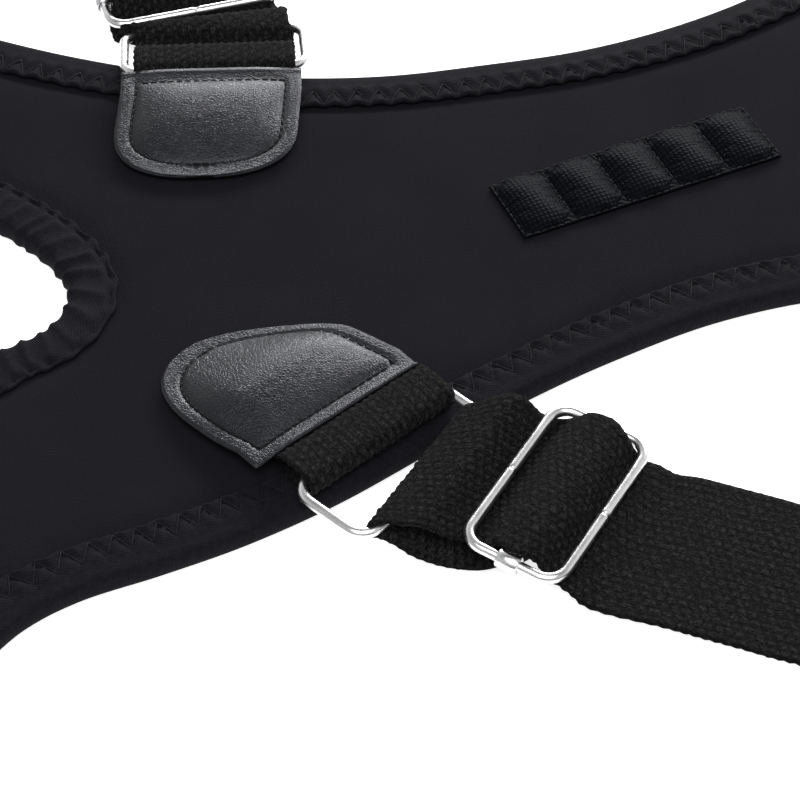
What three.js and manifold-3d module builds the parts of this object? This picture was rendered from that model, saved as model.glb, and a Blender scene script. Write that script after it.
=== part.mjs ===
// Posture corrector, laid flat with its outer face up: a neoprene back panel with two shoulder arms
// and a waist belt. Each arm ends in a webbing strap that comes back through a slide buckle and a
// wire ring to a leather patch on the panel. Millimetres, +Y to the neck, +Z up, left is -X.
import * as THREE from 'three';
import { mergeVertices } from 'three/addons/utils/BufferGeometryUtils.js';
import Module from 'manifold-3d';

const wasm = await Module();
wasm.setup();

// Driving dimensions
const GAP = 0.3;
const FLOOR_CLEARANCE = 0.3;
const PANEL = { thick: 5, rimLow: 1.6, rimHigh: 4.0 };
const BINDING = { width: 10, wall: 1.0, low: 0.3, high: 5.3, round: 1.6, gather: 0.7, gatherReach: 45 };
const WEBBING = { width: 37, held: 35.2, thick: 1.3, turnGap: 2.8 };
const WIRE = { radius: 1.1, sides: 8, bend: 4.2 };
const RING = { length: 40.8, depth: 18.5 };
const SLIDER = { length: 40, depth: 20.6, barRadius: 1.2, barPlay: 0.6 };
const CLIP = { length: 4.6, wall: 0.6, gap: 0.2 };
const PATCH = { straight: 8, power: 2.6, leather: 1.1, flange: 4.5, rise: 8, leanFrom: 6 };
const PATCH_EDGE = { lift: 1.6, reach: 14 };
const TAB = { bottom: 5.6, tail: 9, joinFrom: 2.3, joinTo: -1.5 };
const STRIP = { length: 62.5, width: 17.6, pockets: 5, puff: 2.6, seam: 0.9, x: -0.5, y: -67, turn: 7.8 };
const HOOK = { length: 70, width: 64, thick: 1.6, corner: 6, x: 372, y: -257 };
const ARM = { tipHalf: 25, corner: 15, sewn: 26 };
const WING = { end: 430, corner: 22, top: -216, bottom: -300 };

// Where each side's fittings lie. Angles are plan headings in degrees, from +X towards +Y.
// patch: middle of its straight edge, the way it faces, its depth and how far its round end leans.
// tab: slide along that edge, and reach. ring: heading outward, slide along itself, place of its bar
// in the tab, height of its two bars. slider: centre, heading and bar heights. fold: heading of the
// strap where it turns round the ring, how far it reaches past the bar, its slide, and how far the
// lower layer slips to its left on the way to the slider.
const SIDES = {
  left: {
    patch: { x: -55, y: 15.7, faces: -155.3, halfWidth: 21.4, depth: 36, lean: -0.27 },
    tab: { slide: 1.8, reach: 11.2 },
    ring: { heading: -149, slide: 0.4, inset: 6.0, tabBar: 8.3, strapBar: 8.3 },
    slider: { x: -84.4, y: -19.6, heading: -134, near: 7.7, mid: 6.4, far: 5.0 },
    fold: { heading: -143, inset: 5.3, slide: 1.1, slip: -3.2 },
  },
  right: {
    patch: { x: 52.2, y: 15.5, faces: -13.7, halfWidth: 20.4, depth: 30.5, lean: 0.08 },
    tab: { slide: -1.6, reach: 11 },
    ring: { heading: -12, slide: -0.1, inset: 3.7, tabBar: 8.3, strapBar: 4.4 },
    slider: { x: 90.3, y: 11.4, heading: 0, near: 5.3, mid: 5.0, far: 4.6 },
    fold: { heading: -11, inset: 3.6, slide: 0.3, slip: 1.8 },
  },
};

// The side edges as they lie: a station along the spine, then x of the left and the right edge.
const SIDE_EDGES = [
  { y: 57, left: -77.5, right: 83.9 },
  { y: 40, left: -75.0, right: 71.8 },
  { y: 20, left: -70.0, right: 60.4 },
  { y: -5, left: -61.0, right: 51.4 },
  { y: -25, left: -54.2, right: 46.3 },
  { y: -45, left: -48.9, right: 43.9 },
  { y: -70, left: -44.6, right: 42.2 },
  { y: -95, left: -45.0, right: 44.5 },
  { y: -120, left: -51.0, right: 51.0 },
];

// The belt, alike on both sides: upper edge from the waist outward, then half of the lower edge.
const BELT_UPPER = [
  { x: 64, y: -148 },
  { x: 92, y: -176 },
  { x: 135, y: -196 },
  { x: 205, y: -206 },
  { x: 310, y: -212 },
];
const BELT_LOWER = [
  { x: 290, y: -306 },
  { x: 140, y: -312 },
  { x: 0, y: -314 },
];

// The shoulder arms as they lie: tip, heading, then the points that their two edges pass through.
const ARMS = {
  left: {
    tip: { x: -97, y: 207, heading: 110 },
    outer: [
      { x: -79.4, y: 74 }, { x: -83, y: 85 }, { x: -92, y: 99 }, { x: -104, y: 126 }, { x: -112, y: 155 },
    ],
    inner: [{ x: -17, y: 84 }, { x: -26, y: 108 }, { x: -40, y: 138 }, { x: -56, y: 170 }],
  },
  right: {
    tip: { x: 143, y: 172, heading: 46 },
    outer: [{ x: 97, y: 73 }, { x: 112, y: 90 }, { x: 132, y: 112 }, { x: 147, y: 129 }],
    inner: [{ x: 30, y: 73.5 }, { x: 48, y: 90 }, { x: 70, y: 114 }, { x: 92, y: 140 }],
  },
};

// The neck notch between the arms, from the left arm to the right one.
const NECK = [
  { x: -12.9, y: 75 },
  { x: -10, y: 66 },
  { x: -4.5, y: 60.3 },
  { x: 2.5, y: 58.4 },
  { x: 11, y: 60.6 },
  { x: 21, y: 66.4 },
];

// The straps' way round from the slider to the arm tip. stand is 0 lying flat and 1 on edge.
const STRAP_ROUTES = {
  left: [
    { x: -100.5, y: -40.5, stand: 0 },
    { x: -114.4, y: -59.4, stand: 0 },
    { x: -131, y: -82, stand: 0.08 },
    { x: -155, y: -102, stand: 0.6 },
    { x: -183, y: -105, stand: 1 },
    { x: -206, y: -86, stand: 1 },
    { x: -214, y: -48, stand: 1 },
    { x: -211, y: 22, stand: 1 },
    { x: -203, y: 100, stand: 1 },
    { x: -192, y: 172, stand: 1 },
    { x: -179, y: 220, stand: 1 },
    { x: -155, y: 246, stand: 0.9 },
    { x: -127, y: 247, stand: 0.45 },
    { x: -108, y: 234, stand: 0.08 },
  ],
  right: [
    { x: 109, y: 12.2, stand: 0 },
    { x: 148, y: 16, stand: 0 },
    { x: 190, y: 20, stand: 0.1 },
    { x: 232, y: 24, stand: 0.6 },
    { x: 274, y: 32, stand: 1 },
    { x: 320, y: 56, stand: 1 },
    { x: 350, y: 97, stand: 1 },
    { x: 356, y: 147, stand: 1 },
    { x: 334, y: 194, stand: 1 },
    { x: 290, y: 223, stand: 1 },
    { x: 236, y: 226, stand: 0.9 },
    { x: 194, y: 214, stand: 0.45 },
    { x: 165, y: 193, stand: 0.08 },
  ],
};

const COLOURS = {
  neoprene: { color: 0x1d1d20, roughness: 0.95, metalness: 0 },
  tape: { color: 0x17181c, roughness: 0.85, metalness: 0 },
  satin: { color: 0x20222a, roughness: 0.5, metalness: 0 },
  leather: { color: 0x2a2b2e, roughness: 0.45, metalness: 0 },
  webbing: { color: 0x141416, roughness: 0.95, metalness: 0 },
  nickel: { color: 0xd8d8d6, roughness: 0.15, metalness: 1 },
  hook: { color: 0x121214, roughness: 0.9, metalness: 0 },
};

const radians = THREE.MathUtils.degToRad;
const heading = (degrees) => new THREE.Vector2(Math.cos(radians(degrees)), Math.sin(radians(degrees)));
const smooth = THREE.MathUtils.smoothstep;
const plan = (point, z) => new THREE.Vector3(point.x, point.y, z);
const sideways = (direction) => new THREE.Vector2(-direction.y, direction.x);

// A point that is so far along a heading and so far to its left, from a start in plan.
function step(start, direction, along, across = 0) {
  const left = sideways(direction);
  return new THREE.Vector2(
    start.x + direction.x * along + left.x * across,
    start.y + direction.y * along + left.y * across,
  );
}

// A smooth plan curve through a table of points, with so many steps between each two.
function spline(points, steps) {
  const curve = new THREE.CatmullRomCurve3(points.map((point) => plan(point, 0)), false, 'centripetal');
  return curve.getPoints(steps * (points.length - 1)).map((p) => new THREE.Vector2(p.x, p.y));
}

// A round corner in plan, from one angle to another.
function arc(centre, radius, from, to, steps) {
  return Array.from({ length: steps + 1 }, (_, i) => {
    const direction = heading(from + ((to - from) * i) / steps);
    return step(centre, direction, radius);
  });
}

// The corners of a rectangle: which side of x and y each is on, and the angle its arc starts at.
const CORNERS = [[1, 1, 0], [-1, 1, 90], [-1, -1, 180], [1, -1, 270]];

// A closed solid through sections with equal numbers of points, capped or joined end to start.
function loft(sections, joined = false) {
  const count = sections[0].length;
  const positions = sections.flat().flatMap((p) => [p.x, p.y, p.z]);
  const triangles = [];
  const spans = joined ? sections.length : sections.length - 1;
  for (let s = 0; s < spans; s += 1) {
    const here = s * count;
    const next = ((s + 1) % sections.length) * count;
    for (let k = 0; k < count; k += 1) {
      const l = (k + 1) % count;
      triangles.push(here + k, here + l, next + l, here + k, next + l, next + k);
    }
  }
  if (!joined) {
    const last = (sections.length - 1) * count;
    cap(sections[0]).forEach(([a, b, c]) => triangles.push(c, b, a));
    cap(sections[sections.length - 1]).forEach(([a, b, c]) => triangles.push(last + a, last + b, last + c));
  }
  const geometry = new THREE.BufferGeometry();
  geometry.setAttribute('position', new THREE.Float32BufferAttribute(positions, 3));
  geometry.setIndex(triangles);
  return facingOut(geometry);
}

// Triangles over one end section, worked out in the plane that it lies in.
function cap(section) {
  const normal = new THREE.Vector3();
  section.forEach((p, i) => normal.add(p.clone().cross(section[(i + 1) % section.length])));
  normal.normalize();
  const u = new THREE.Vector3(normal.y, normal.z, normal.x).cross(normal).normalize();
  const v = normal.clone().cross(u);
  const flat = section.map((p) => new THREE.Vector2(p.dot(u), p.dot(v)));
  return THREE.ShapeUtils.triangulateShape(flat, []);
}

// Turns a solid's faces over when they point in, and adds its normals.
function facingOut(geometry) {
  const p = geometry.getAttribute('position');
  const index = geometry.getIndex();
  const [a, b, c] = [0, 1, 2].map(() => new THREE.Vector3());
  let volume = 0;
  for (let i = 0; i < index.count; i += 3) {
    a.fromBufferAttribute(p, index.getX(i));
    b.fromBufferAttribute(p, index.getX(i + 1));
    c.fromBufferAttribute(p, index.getX(i + 2));
    volume += a.dot(b.cross(c));
  }
  if (volume < 0) index.array.reverse();
  geometry.computeVertexNormals();
  return geometry;
}

function toManifold(geometry) {
  const bare = geometry.clone();
  bare.deleteAttribute('normal');
  bare.deleteAttribute('uv');
  const merged = mergeVertices(bare, 1e-4);
  return new wasm.Manifold(new wasm.Mesh({
    numProp: 3,
    vertProperties: new Float32Array(merged.getAttribute('position').array),
    triVerts: new Uint32Array(merged.getIndex().array),
  }));
}

function fromManifold(solid) {
  const mesh = solid.getMesh();
  const geometry = new THREE.BufferGeometry();
  geometry.setAttribute('position', new THREE.BufferAttribute(new Float32Array(mesh.vertProperties), 3));
  geometry.setIndex(new THREE.BufferAttribute(new Uint32Array(mesh.triVerts), 1));
  geometry.computeVertexNormals();
  return geometry;
}

const object = new THREE.Group();

function addPiece(name, geometry, colour) {
  const mesh = new THREE.Mesh(geometry, new THREE.MeshStandardMaterial(COLOURS[colour]));
  mesh.name = name;
  object.add(mesh);
}

// The outline of the panel, clockwise from above, in two open paths that meet at the arm tips
const mirrorOf = { left: -1, right: 1 };
const seamShare = GAP / 2 + 0.05;

// Half of an arm's end, from its middle round one corner. turn is 1 for its left and -1 for its right.
function armEnd(tip, turn) {
  const way = heading(tip.heading);
  const centre = step(tip, way, -ARM.corner, turn * (ARM.tipHalf - ARM.corner));
  const corner = arc(centre, ARM.corner, tip.heading, tip.heading + turn * 90, 4);
  return [step(tip, way, 0, turn * seamShare), ...corner];
}

// From the middle of the arm tip down the side, along the belt to the middle of its lower edge.
function outerHalf(side) {
  const mirror = mirrorOf[side];
  const flip = (row) => ({ x: mirror * row.x, y: row.y });
  const tip = armEnd(ARMS[side].tip, -mirror);
  const cornerAt = (y) => ({ x: mirror * (WING.end - WING.corner), y });
  const endCorner = (y, from) => arc(cornerAt(y), WING.corner, from, from - mirror * 90, 4);
  const upperCorner = endCorner(WING.top - WING.corner, 90);
  const lowerCorner = endCorner(WING.bottom + WING.corner, 90 - mirror * 90);
  const edge = spline([
    tip.at(-1),
    ...ARMS[side].outer.slice().reverse(),
    ...SIDE_EDGES.map((row) => ({ x: row[side], y: row.y })),
    ...BELT_UPPER.map(flip),
    upperCorner[0],
  ], 2);
  const lower = spline([lowerCorner.at(-1), ...BELT_LOWER.map(flip)], 2);
  return [...tip.slice(0, -1), ...edge.slice(0, -1), ...upperCorner, ...lowerCorner.slice(0, -1), ...lower];
}

function neckPath() {
  const leftTip = armEnd(ARMS.left.tip, -1);
  const rightTip = armEnd(ARMS.right.tip, 1).reverse();
  const edge = spline([
    leftTip.at(-1),
    ...ARMS.left.inner.slice().reverse(),
    ...NECK,
    ...ARMS.right.inner,
    rightTip[0],
  ], 2);
  return [...leftTip.slice(0, -1), ...edge, ...rightTip.slice(1)];
}

const outerPath = [...outerHalf('right'), ...outerHalf('left').reverse().slice(1)];
const outline = [...outerPath, ...neckPath()];

// The way into the panel at each outline point.
const inward = outline.map((_, i) => {
  const before = outline[(i + outline.length - 1) % outline.length];
  const after = outline[(i + 1) % outline.length];
  return sideways(after.clone().sub(before).normalize()).negate();
});
const inset = (i, by, z) => plan(outline[i].clone().addScaledVector(inward[i], by), z);

// Back panel: full thickness inside, with a thinner rim that the binding grips.
function backPanel() {
  const core = BINDING.width + GAP;
  const rim = BINDING.wall + GAP;
  const rings = [
    { by: core, z: 0 },
    { by: core, z: PANEL.rimLow },
    { by: rim, z: PANEL.rimLow },
    { by: rim, z: PANEL.rimHigh },
    { by: core, z: PANEL.rimHigh },
    { by: core, z: PANEL.thick },
  ];
  return loft(rings.map((ring) => outline.map((_, i) => inset(i, ring.by, ring.z))));
}

// One cut through the folded tape; swell lifts its lips and pushes its fold out.
function bindingSection(at, swell) {
  const { width, wall, low, high, round } = BINDING;
  const push = -swell / 2;
  const outside = [at(width, low), at(round, low), at(push, low + round), at(push, high - round)];
  const lips = [at(round, high + swell), at(width, high + swell / 2)];
  const inside = [at(width, high - wall), at(wall, high - wall), at(wall, low + wall), at(width, low + wall)];
  return [...outside, ...lips, ...inside];
}

// Folded tape along a run of outline points, gathered round the neck: each step swells at its middle.
function binding(first, last) {
  const sections = [];
  const neckMiddle = new THREE.Vector2(NECK[3].x, NECK[3].y);
  for (let i = first; i <= last; i += 1) {
    sections.push(bindingSection((by, z) => inset(i, by, z), 0));
    if (i < last && outline[i].distanceTo(neckMiddle) < BINDING.gatherReach) {
      const middle = (by, z) => inset(i, by, z).lerp(inset(i + 1, by, z), 0.5);
      sections.push(bindingSection(middle, BINDING.gather));
    }
  }
  return loft(sections);
}

// Pocket strip: a flat base under a row of puffed pockets with sewn seams between them.
function pocketStrip() {
  const columns = 6;
  const perPocket = 4;
  const way = heading(90 + STRIP.turn);
  const base = PANEL.thick + GAP;
  const sections = [];
  for (let i = 0; i <= STRIP.pockets * perPocket; i += 1) {
    const along = i / (STRIP.pockets * perPocket);
    const bulge = Math.abs(Math.sin(along * STRIP.pockets * Math.PI)) ** 0.7;
    const at = (across, z) => plan(
      step(STRIP, way, (along - 0.5) * STRIP.length, (across - 0.5) * STRIP.width), z,
    );
    const top = Array.from({ length: columns + 1 }, (_, k) => {
      const across = k / columns;
      const crown = Math.sin(across * Math.PI) ** 0.6;
      return at(across, base + STRIP.seam + STRIP.puff * bulge * crown);
    });
    sections.push([at(1, base), at(0, base), ...top]);
  }
  return loft(sections);
}

// The upper layer of the ring tab: how high its middle lies at a distance in from the patch's edge.
const tabLow = TAB.bottom + WEBBING.thick / 2;
const turnRadius = (WEBBING.turnGap + WEBBING.thick) / 2;
function tabUpper(depth) {
  const open = smooth(-depth, TAB.joinTo, TAB.joinFrom);
  const closed = WEBBING.thick + GAP;
  return tabLow + closed + (turnRadius * 2 - closed) * open;
}

// Leather patch: a D-shaped skin that lies on the panel round its curved side and over the tab.
function patch(place) {
  const outward = heading(place.faces);
  const columns = 10;
  const rows = [0, 0.1, 0.24, 0.4, 0.55, 0.7, 0.82, 0.91, 0.97, 0.995];
  const sheet = (across, depth, halfWidth) => {
    const fromSide = halfWidth - Math.abs(across);
    const fromEnd = place.depth - depth;
    const lift = smooth(fromSide, 0, 1) * smooth(fromEnd, PATCH.flange, PATCH.flange + PATCH.rise);
    const rest = PANEL.thick + GAP + PATCH_EDGE.lift * smooth(-depth, -PATCH_EDGE.reach, 0);
    return rest + (tabUpper(depth) + WEBBING.thick / 2 + GAP - rest) * lift;
  };
  const sections = rows.map((share) => {
    const depth = share * place.depth;
    const lean = place.lean * Math.max(0, depth - PATCH.leanFrom);
    const round = Math.max(0, (depth - PATCH.straight) / (place.depth - PATCH.straight));
    const halfWidth = place.halfWidth * (1 - round ** PATCH.power) ** (1 / PATCH.power);
    const row = (rise) => Array.from({ length: columns + 1 }, (_, k) => {
      const across = halfWidth * Math.sin((k / columns - 0.5) * Math.PI);
      return plan(step(place, outward, -depth, across + lean), sheet(across, depth, halfWidth) + rise);
    });
    return [...row(0), ...row(PATCH.leather).reverse()];
  });
  return loft(sections);
}

// A strip of webbing through stations, each with its middle, the way across it and its width.
function ribbon(stations) {
  const sections = stations.map(({ middle, across, width }, i) => {
    const before = stations[Math.max(0, i - 1)].middle;
    const after = stations[Math.min(stations.length - 1, i + 1)].middle;
    const normal = after.clone().sub(before).cross(across).normalize();
    const corner = (side, face) => middle.clone()
      .addScaledVector(across, (side * width) / 2)
      .addScaledVector(normal, (face * WEBBING.thick) / 2);
    return [corner(1, 1), corner(-1, 1), corner(-1, -1), corner(1, -1)];
  });
  return loft(sections);
}

// Points on part of a circle in the plane of a strip: s along it and z up.
function bend(s, z, radius, from, to, steps) {
  return Array.from({ length: steps + 1 }, (_, i) => {
    const angle = radians(from + ((to - from) * i) / steps);
    return { s: s + radius * Math.cos(angle), z: z + radius * Math.sin(angle) };
  });
}

// Ring tab: webbing that runs out from under the patch, turns round the ring's bar and runs back.
function ringTab(side) {
  const { patch: place, tab } = side;
  const outward = heading(place.faces);
  const turnAt = tab.reach - WEBBING.thick / 2 - turnRadius;
  const upperStops = [TAB.joinFrom, 1.4, 0.6, -0.4, TAB.joinTo];
  const profile = [
    { s: -TAB.tail, z: tabLow },
    ...bend(turnAt, tabLow + turnRadius, turnRadius, -90, 90, 6),
    ...upperStops.map((s) => ({ s, z: tabUpper(-s) })),
    { s: -TAB.tail, z: tabUpper(TAB.tail) },
  ];
  const across = plan(sideways(outward), 0);
  const width = WEBBING.held;
  return ribbon(profile.map(({ s, z }) => {
    const middle = plan(step(place, outward, s, tab.slide), z);
    return { middle, across, width };
  }));
}

// A closed wire frame with round corners, in its own plane.
function wireFrame(length, depth) {
  const path = CORNERS.flatMap(([x, y, from]) => arc(
    { x: x * (depth / 2 - WIRE.bend), y: y * (length / 2 - WIRE.bend) }, WIRE.bend, from, from + 90, 4,
  ).map((point, i) => ({ point, out: heading(from + (90 * i) / 4) })));
  return loft(path.map(({ point, out }) => Array.from({ length: WIRE.sides }, (_, k) => {
    const angle = (k / WIRE.sides) * Math.PI * 2;
    const reach = WIRE.radius * Math.cos(angle);
    return new THREE.Vector3(point.x + out.x * reach, point.y + out.y * reach, WIRE.radius * Math.sin(angle));
  })), true);
}

// Turns a flat piece so that its +X looks along a heading and rises so much for each millimetre.
function lay(geometry, centre, degrees, pitch) {
  const turned = geometry.clone().rotateY(-pitch).rotateZ(radians(degrees));
  return turned.translate(centre.x, centre.y, centre.z);
}

// Where the ring lies: its bar on the tab's side sits inside the tab's turn.
function ringPlace({ patch: place, tab, ring }) {
  const outward = heading(place.faces);
  const tabBar = step(place, outward, ring.inset, tab.slide + ring.slide);
  const drop = ring.strapBar - ring.tabBar;
  const reach = Math.sqrt(RING.depth ** 2 - drop ** 2);
  const strapBar = step(tabBar, heading(ring.heading), reach);
  const centre = plan(step(tabBar, heading(ring.heading), reach / 2), (ring.tabBar + ring.strapBar) / 2);
  return { strapBar, centre, pitch: Math.asin(drop / RING.depth) };
}

const sliderPitch = (slider) => Math.asin((slider.far - slider.near) / SLIDER.depth);

// Slide buckle bar: a rod across the frame with a clip round each of its short sides.
function sliderBar() {
  const { length, barRadius, barPlay } = SLIDER;
  const rodLength = length - 2 * (WIRE.radius + barPlay);
  const rod = new THREE.CylinderGeometry(barRadius, barRadius, rodLength, WIRE.sides);
  const inner = WIRE.radius + CLIP.gap;
  const outer = inner + CLIP.wall;
  const half = CLIP.length / 2;
  const rim = [[inner, -half], [outer, -half], [outer, half], [inner, half], [inner, -half]];
  const clip = new THREE.LatheGeometry(rim.map(([r, h]) => new THREE.Vector2(r, h)), 12).rotateZ(Math.PI / 2);
  const place = (sign) => {
    const moved = clip.clone().translate(0, (sign * length) / 2, 0);
    return toManifold(facingOut(mergeVertices(moved)));
  };
  return fromManifold(toManifold(rod).add(place(1)).add(place(-1)));
}

// The strap's run in the plane of its loop, s along the slider's heading and z up, as the webbing lies:
// sewn end round the bar, lower layer, turn round the ring, upper layer, under, over and under the slider.
function loopProfile(slider, turnS, turnZ) {
  const lying = FLOOR_CLEARANCE + WEBBING.thick / 2;
  const under = WIRE.radius + 2 * GAP + WEBBING.thick / 2;
  const wrap = SLIDER.barRadius + GAP + WEBBING.thick / 2;
  const over = slider.mid + wrap + WEBBING.thick + GAP;
  const bar = SLIDER.depth / 2;
  const held = (-bar - turnS) / 2;
  const mix = THREE.MathUtils.lerp;
  const lowerTurn = turnZ - turnRadius;
  const upperTurn = turnZ + turnRadius;
  const nearBar = slider.near - under;
  const farBar = slider.far - under;
  const sewnEnd = [
    { s: -4.6, z: slider.mid + wrap - 1.1 },
    { s: -2.2, z: slider.mid + wrap - 0.2 },
    ...bend(0, slider.mid, wrap, 90, -90, 6),
  ];
  const lowerLayer = [
    { s: -4, z: mix(slider.mid - wrap, lying, 0.45), slip: 0.15 },
    { s: -8.5, z: lying, slip: 0.5 },
    { s: turnS + held + 4.5, z: mix(lying, lowerTurn, 0.12), slip: 1 },
    { s: turnS + held, z: mix(lying, lowerTurn, 0.6), slip: 0.9 },
    { s: turnS + held * 0.45, z: lowerTurn, slip: 0.35 },
  ];
  const upperLayer = [
    ...bend(turnS, turnZ, turnRadius, -90, -270, 6),
    { s: turnS + held * 0.6, z: upperTurn + 0.3 },
    { s: turnS + held, z: upperTurn },
  ];
  const throughSlider = [
    { s: -bar - 2.2, z: nearBar + 0.9 },
    { s: -bar + 0.4, z: nearBar },
    { s: -bar + 3, z: nearBar + 1.2 },
    { s: -4.6, z: over - 1.9 },
    { s: -2.4, z: over - 0.2 },
    { s: 0, z: over },
    { s: 2.4, z: over - 0.2 },
    { s: 5, z: over - 2.2 },
    { s: bar - 2.6, z: farBar + 1.3 },
    { s: bar, z: farBar },
    { s: bar + 2.6, z: mix(farBar, lying, 0.2) },
    { s: bar + 6, z: lying },
  ];
  return [...sewnEnd, ...lowerLayer, ...upperLayer, ...throughSlider];
}

// The strap from its sewn end in the slider, round the ring, back through the slider and on to the arm.
function strap(name) {
  const side = SIDES[name];
  const { slider, fold } = side;
  const onward = heading(slider.heading);
  const turnIn = turnRadius + WEBBING.thick / 2 - fold.inset;
  const turn = step(ringPlace(side).strapBar, heading(fold.heading), turnIn, fold.slide);
  const toTurn = turn.clone().sub(new THREE.Vector2(slider.x, slider.y));
  const turnS = toTurn.dot(onward);
  const turnAcross = toTurn.dot(sideways(onward));
  const bar = SLIDER.depth / 2;
  const loop = loopProfile(slider, turnS, side.ring.strapBar).map(({ s, z, slip = 0 }) => {
    const share = THREE.MathUtils.clamp((s + bar) / (turnS + bar), 0, 1.1);
    const free = smooth(Math.abs(s), bar + 1, bar + 4) * smooth(s - turnS, 3, 7);
    const across = sideways(heading(slider.heading + (fold.heading - slider.heading) * Math.min(share, 1)));
    const middle = plan(step(slider, onward, s, turnAcross * share + slip * fold.slip), z);
    const width = THREE.MathUtils.lerp(WEBBING.held, WEBBING.width, free);
    return { middle, across: plan(across, 0), width };
  });
  return ribbon([...loop, ...strapRoute(name)]);
}

// The strap's way round, turning up on edge where it bends, to its sewn end on the arm.
function strapRoute(name) {
  const { tip } = ARMS[name];
  const way = heading(tip.heading);
  const onArm = BINDING.high + GAP - FLOOR_CLEARANCE;
  const rows = [
    ...STRAP_ROUTES[name].map((row) => ({ ...row, lift: 0 })),
    { ...step(tip, way, 9), stand: 0, lift: onArm * 0.6 },
    { ...step(tip, way, 2), stand: 0, lift: onArm },
    { ...step(tip, way, -ARM.sewn), stand: 0, lift: onArm },
  ];
  const curve = new THREE.CatmullRomCurve3(rows.map((row) => plan(row, 0)), false, 'centripetal');
  const spans = rows.length - 1;
  const perSpan = 3;
  return Array.from({ length: spans * perSpan + 1 }, (_, i) => {
    const here = Math.min(Math.floor(i / perSpan), spans - 1);
    const share = i / perSpan - here;
    const between = (column) => THREE.MathUtils.lerp(rows[here][column], rows[here + 1][column], share);
    const turn = (between('stand') * Math.PI) / 2;
    const ahead = curve.getTangent(i / (spans * perSpan));
    const level = new THREE.Vector3(-ahead.y, ahead.x, 0).normalize();
    const across = level.multiplyScalar(Math.cos(turn));
    across.z = Math.sin(turn);
    const middle = curve.getPoint(i / (spans * perSpan));
    middle.z = FLOOR_CLEARANCE + between('lift');
    middle.z += (WEBBING.width * Math.sin(turn) + WEBBING.thick * Math.cos(turn)) / 2;
    return { middle, across, width: WEBBING.width };
  });
}

// Hook tape on the end of the right belt wing: the one plain closure of the belt.
function hookPatch() {
  const x = HOOK.length / 2 - HOOK.corner;
  const y = HOOK.width / 2 - HOOK.corner;
  const rim = CORNERS.flatMap(([sx, sy, from]) => (
    arc({ x: sx * x, y: sy * y }, HOOK.corner, from, from + 90, 3)
  ));
  const plate = new THREE.ExtrudeGeometry(new THREE.Shape(rim), { depth: HOOK.thick, bevelEnabled: false });
  return plate.translate(HOOK.x, HOOK.y, PANEL.thick + GAP);
}

addPiece('back_panel', backPanel(), 'neoprene');
addPiece('edge_binding', binding(0, outerPath.length - 1), 'tape');
addPiece('neck_binding', binding(outerPath.length, outline.length - 1), 'tape');
addPiece('pocket_strip', pocketStrip(), 'satin');
addPiece('hook_patch', hookPatch(), 'hook');
for (const [name, side] of Object.entries(SIDES)) {
  const { slider } = side;
  const ring = ringPlace(side);
  const sliderCentre = plan(slider, (slider.near + slider.far) / 2);
  const sliderLies = (geometry) => lay(geometry, sliderCentre, slider.heading, sliderPitch(slider));
  addPiece(`patch_${name}`, patch(side.patch), 'leather');
  addPiece(`ring_tab_${name}`, ringTab(side), 'webbing');
  const ringWire = wireFrame(RING.length, RING.depth);
  addPiece(`ring_${name}`, lay(ringWire, ring.centre, side.ring.heading, ring.pitch), 'nickel');
  addPiece(`slider_frame_${name}`, sliderLies(wireFrame(SLIDER.length, SLIDER.depth)), 'nickel');
  addPiece(`slider_bar_${name}`, sliderLies(sliderBar()), 'nickel');
  addPiece(`strap_${name}`, strap(name), 'webbing');
}

// The origin is under the middle of the whole part.
const box = new THREE.Box3().setFromObject(object, true);
object.position.set(-(box.min.x + box.max.x) / 2, -(box.min.y + box.max.y) / 2, -box.min.z);
object.updateMatrixWorld(true);

export default object;
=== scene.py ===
"""Dresses the posture corrector's solids: foam panel, bindings, leather, webbing, wire and stage."""

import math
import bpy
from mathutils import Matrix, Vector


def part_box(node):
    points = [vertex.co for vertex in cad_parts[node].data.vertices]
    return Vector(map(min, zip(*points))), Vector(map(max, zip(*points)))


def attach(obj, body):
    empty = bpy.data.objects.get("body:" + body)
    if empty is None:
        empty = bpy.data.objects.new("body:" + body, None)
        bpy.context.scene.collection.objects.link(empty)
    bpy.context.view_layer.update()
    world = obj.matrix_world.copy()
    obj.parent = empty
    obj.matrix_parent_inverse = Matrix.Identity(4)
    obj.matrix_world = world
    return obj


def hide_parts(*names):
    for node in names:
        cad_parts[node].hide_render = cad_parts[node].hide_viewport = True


bl_info = {
    "name": "Posture corrector",
    "version": (1, 0, 0),
    "blender": (4, 5, 0),
    "location": "View3D > Sidebar > Brace",
    "description": "Builds the soft and metal pieces of a posture corrector on its solid frame",
    "category": "Object",
}

from types import SimpleNamespace

import bpy
import numpy as np
from bpy.props import FloatProperty, FloatVectorProperty, PointerProperty
from mathutils import Vector
from mathutils.geometry import delaunay_2d_cdt

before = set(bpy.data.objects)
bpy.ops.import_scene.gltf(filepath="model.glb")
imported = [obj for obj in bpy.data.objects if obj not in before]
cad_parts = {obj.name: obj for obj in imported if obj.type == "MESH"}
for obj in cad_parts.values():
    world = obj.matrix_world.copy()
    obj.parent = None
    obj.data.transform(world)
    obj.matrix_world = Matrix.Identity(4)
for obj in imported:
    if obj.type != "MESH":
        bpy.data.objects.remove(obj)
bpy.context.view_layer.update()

# Shapes are worked out in millimetres in the plan of the part, and moved to its frame at the end.
MM = 0.001
HOOK_AT = (372.0, -257.0)
HOOK_BOX = np.array(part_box("hook_patch")) / MM
ORIGIN = np.append(HOOK_BOX.mean(axis=0)[:2] - HOOK_AT, 0.0)
SEED = 7

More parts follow.
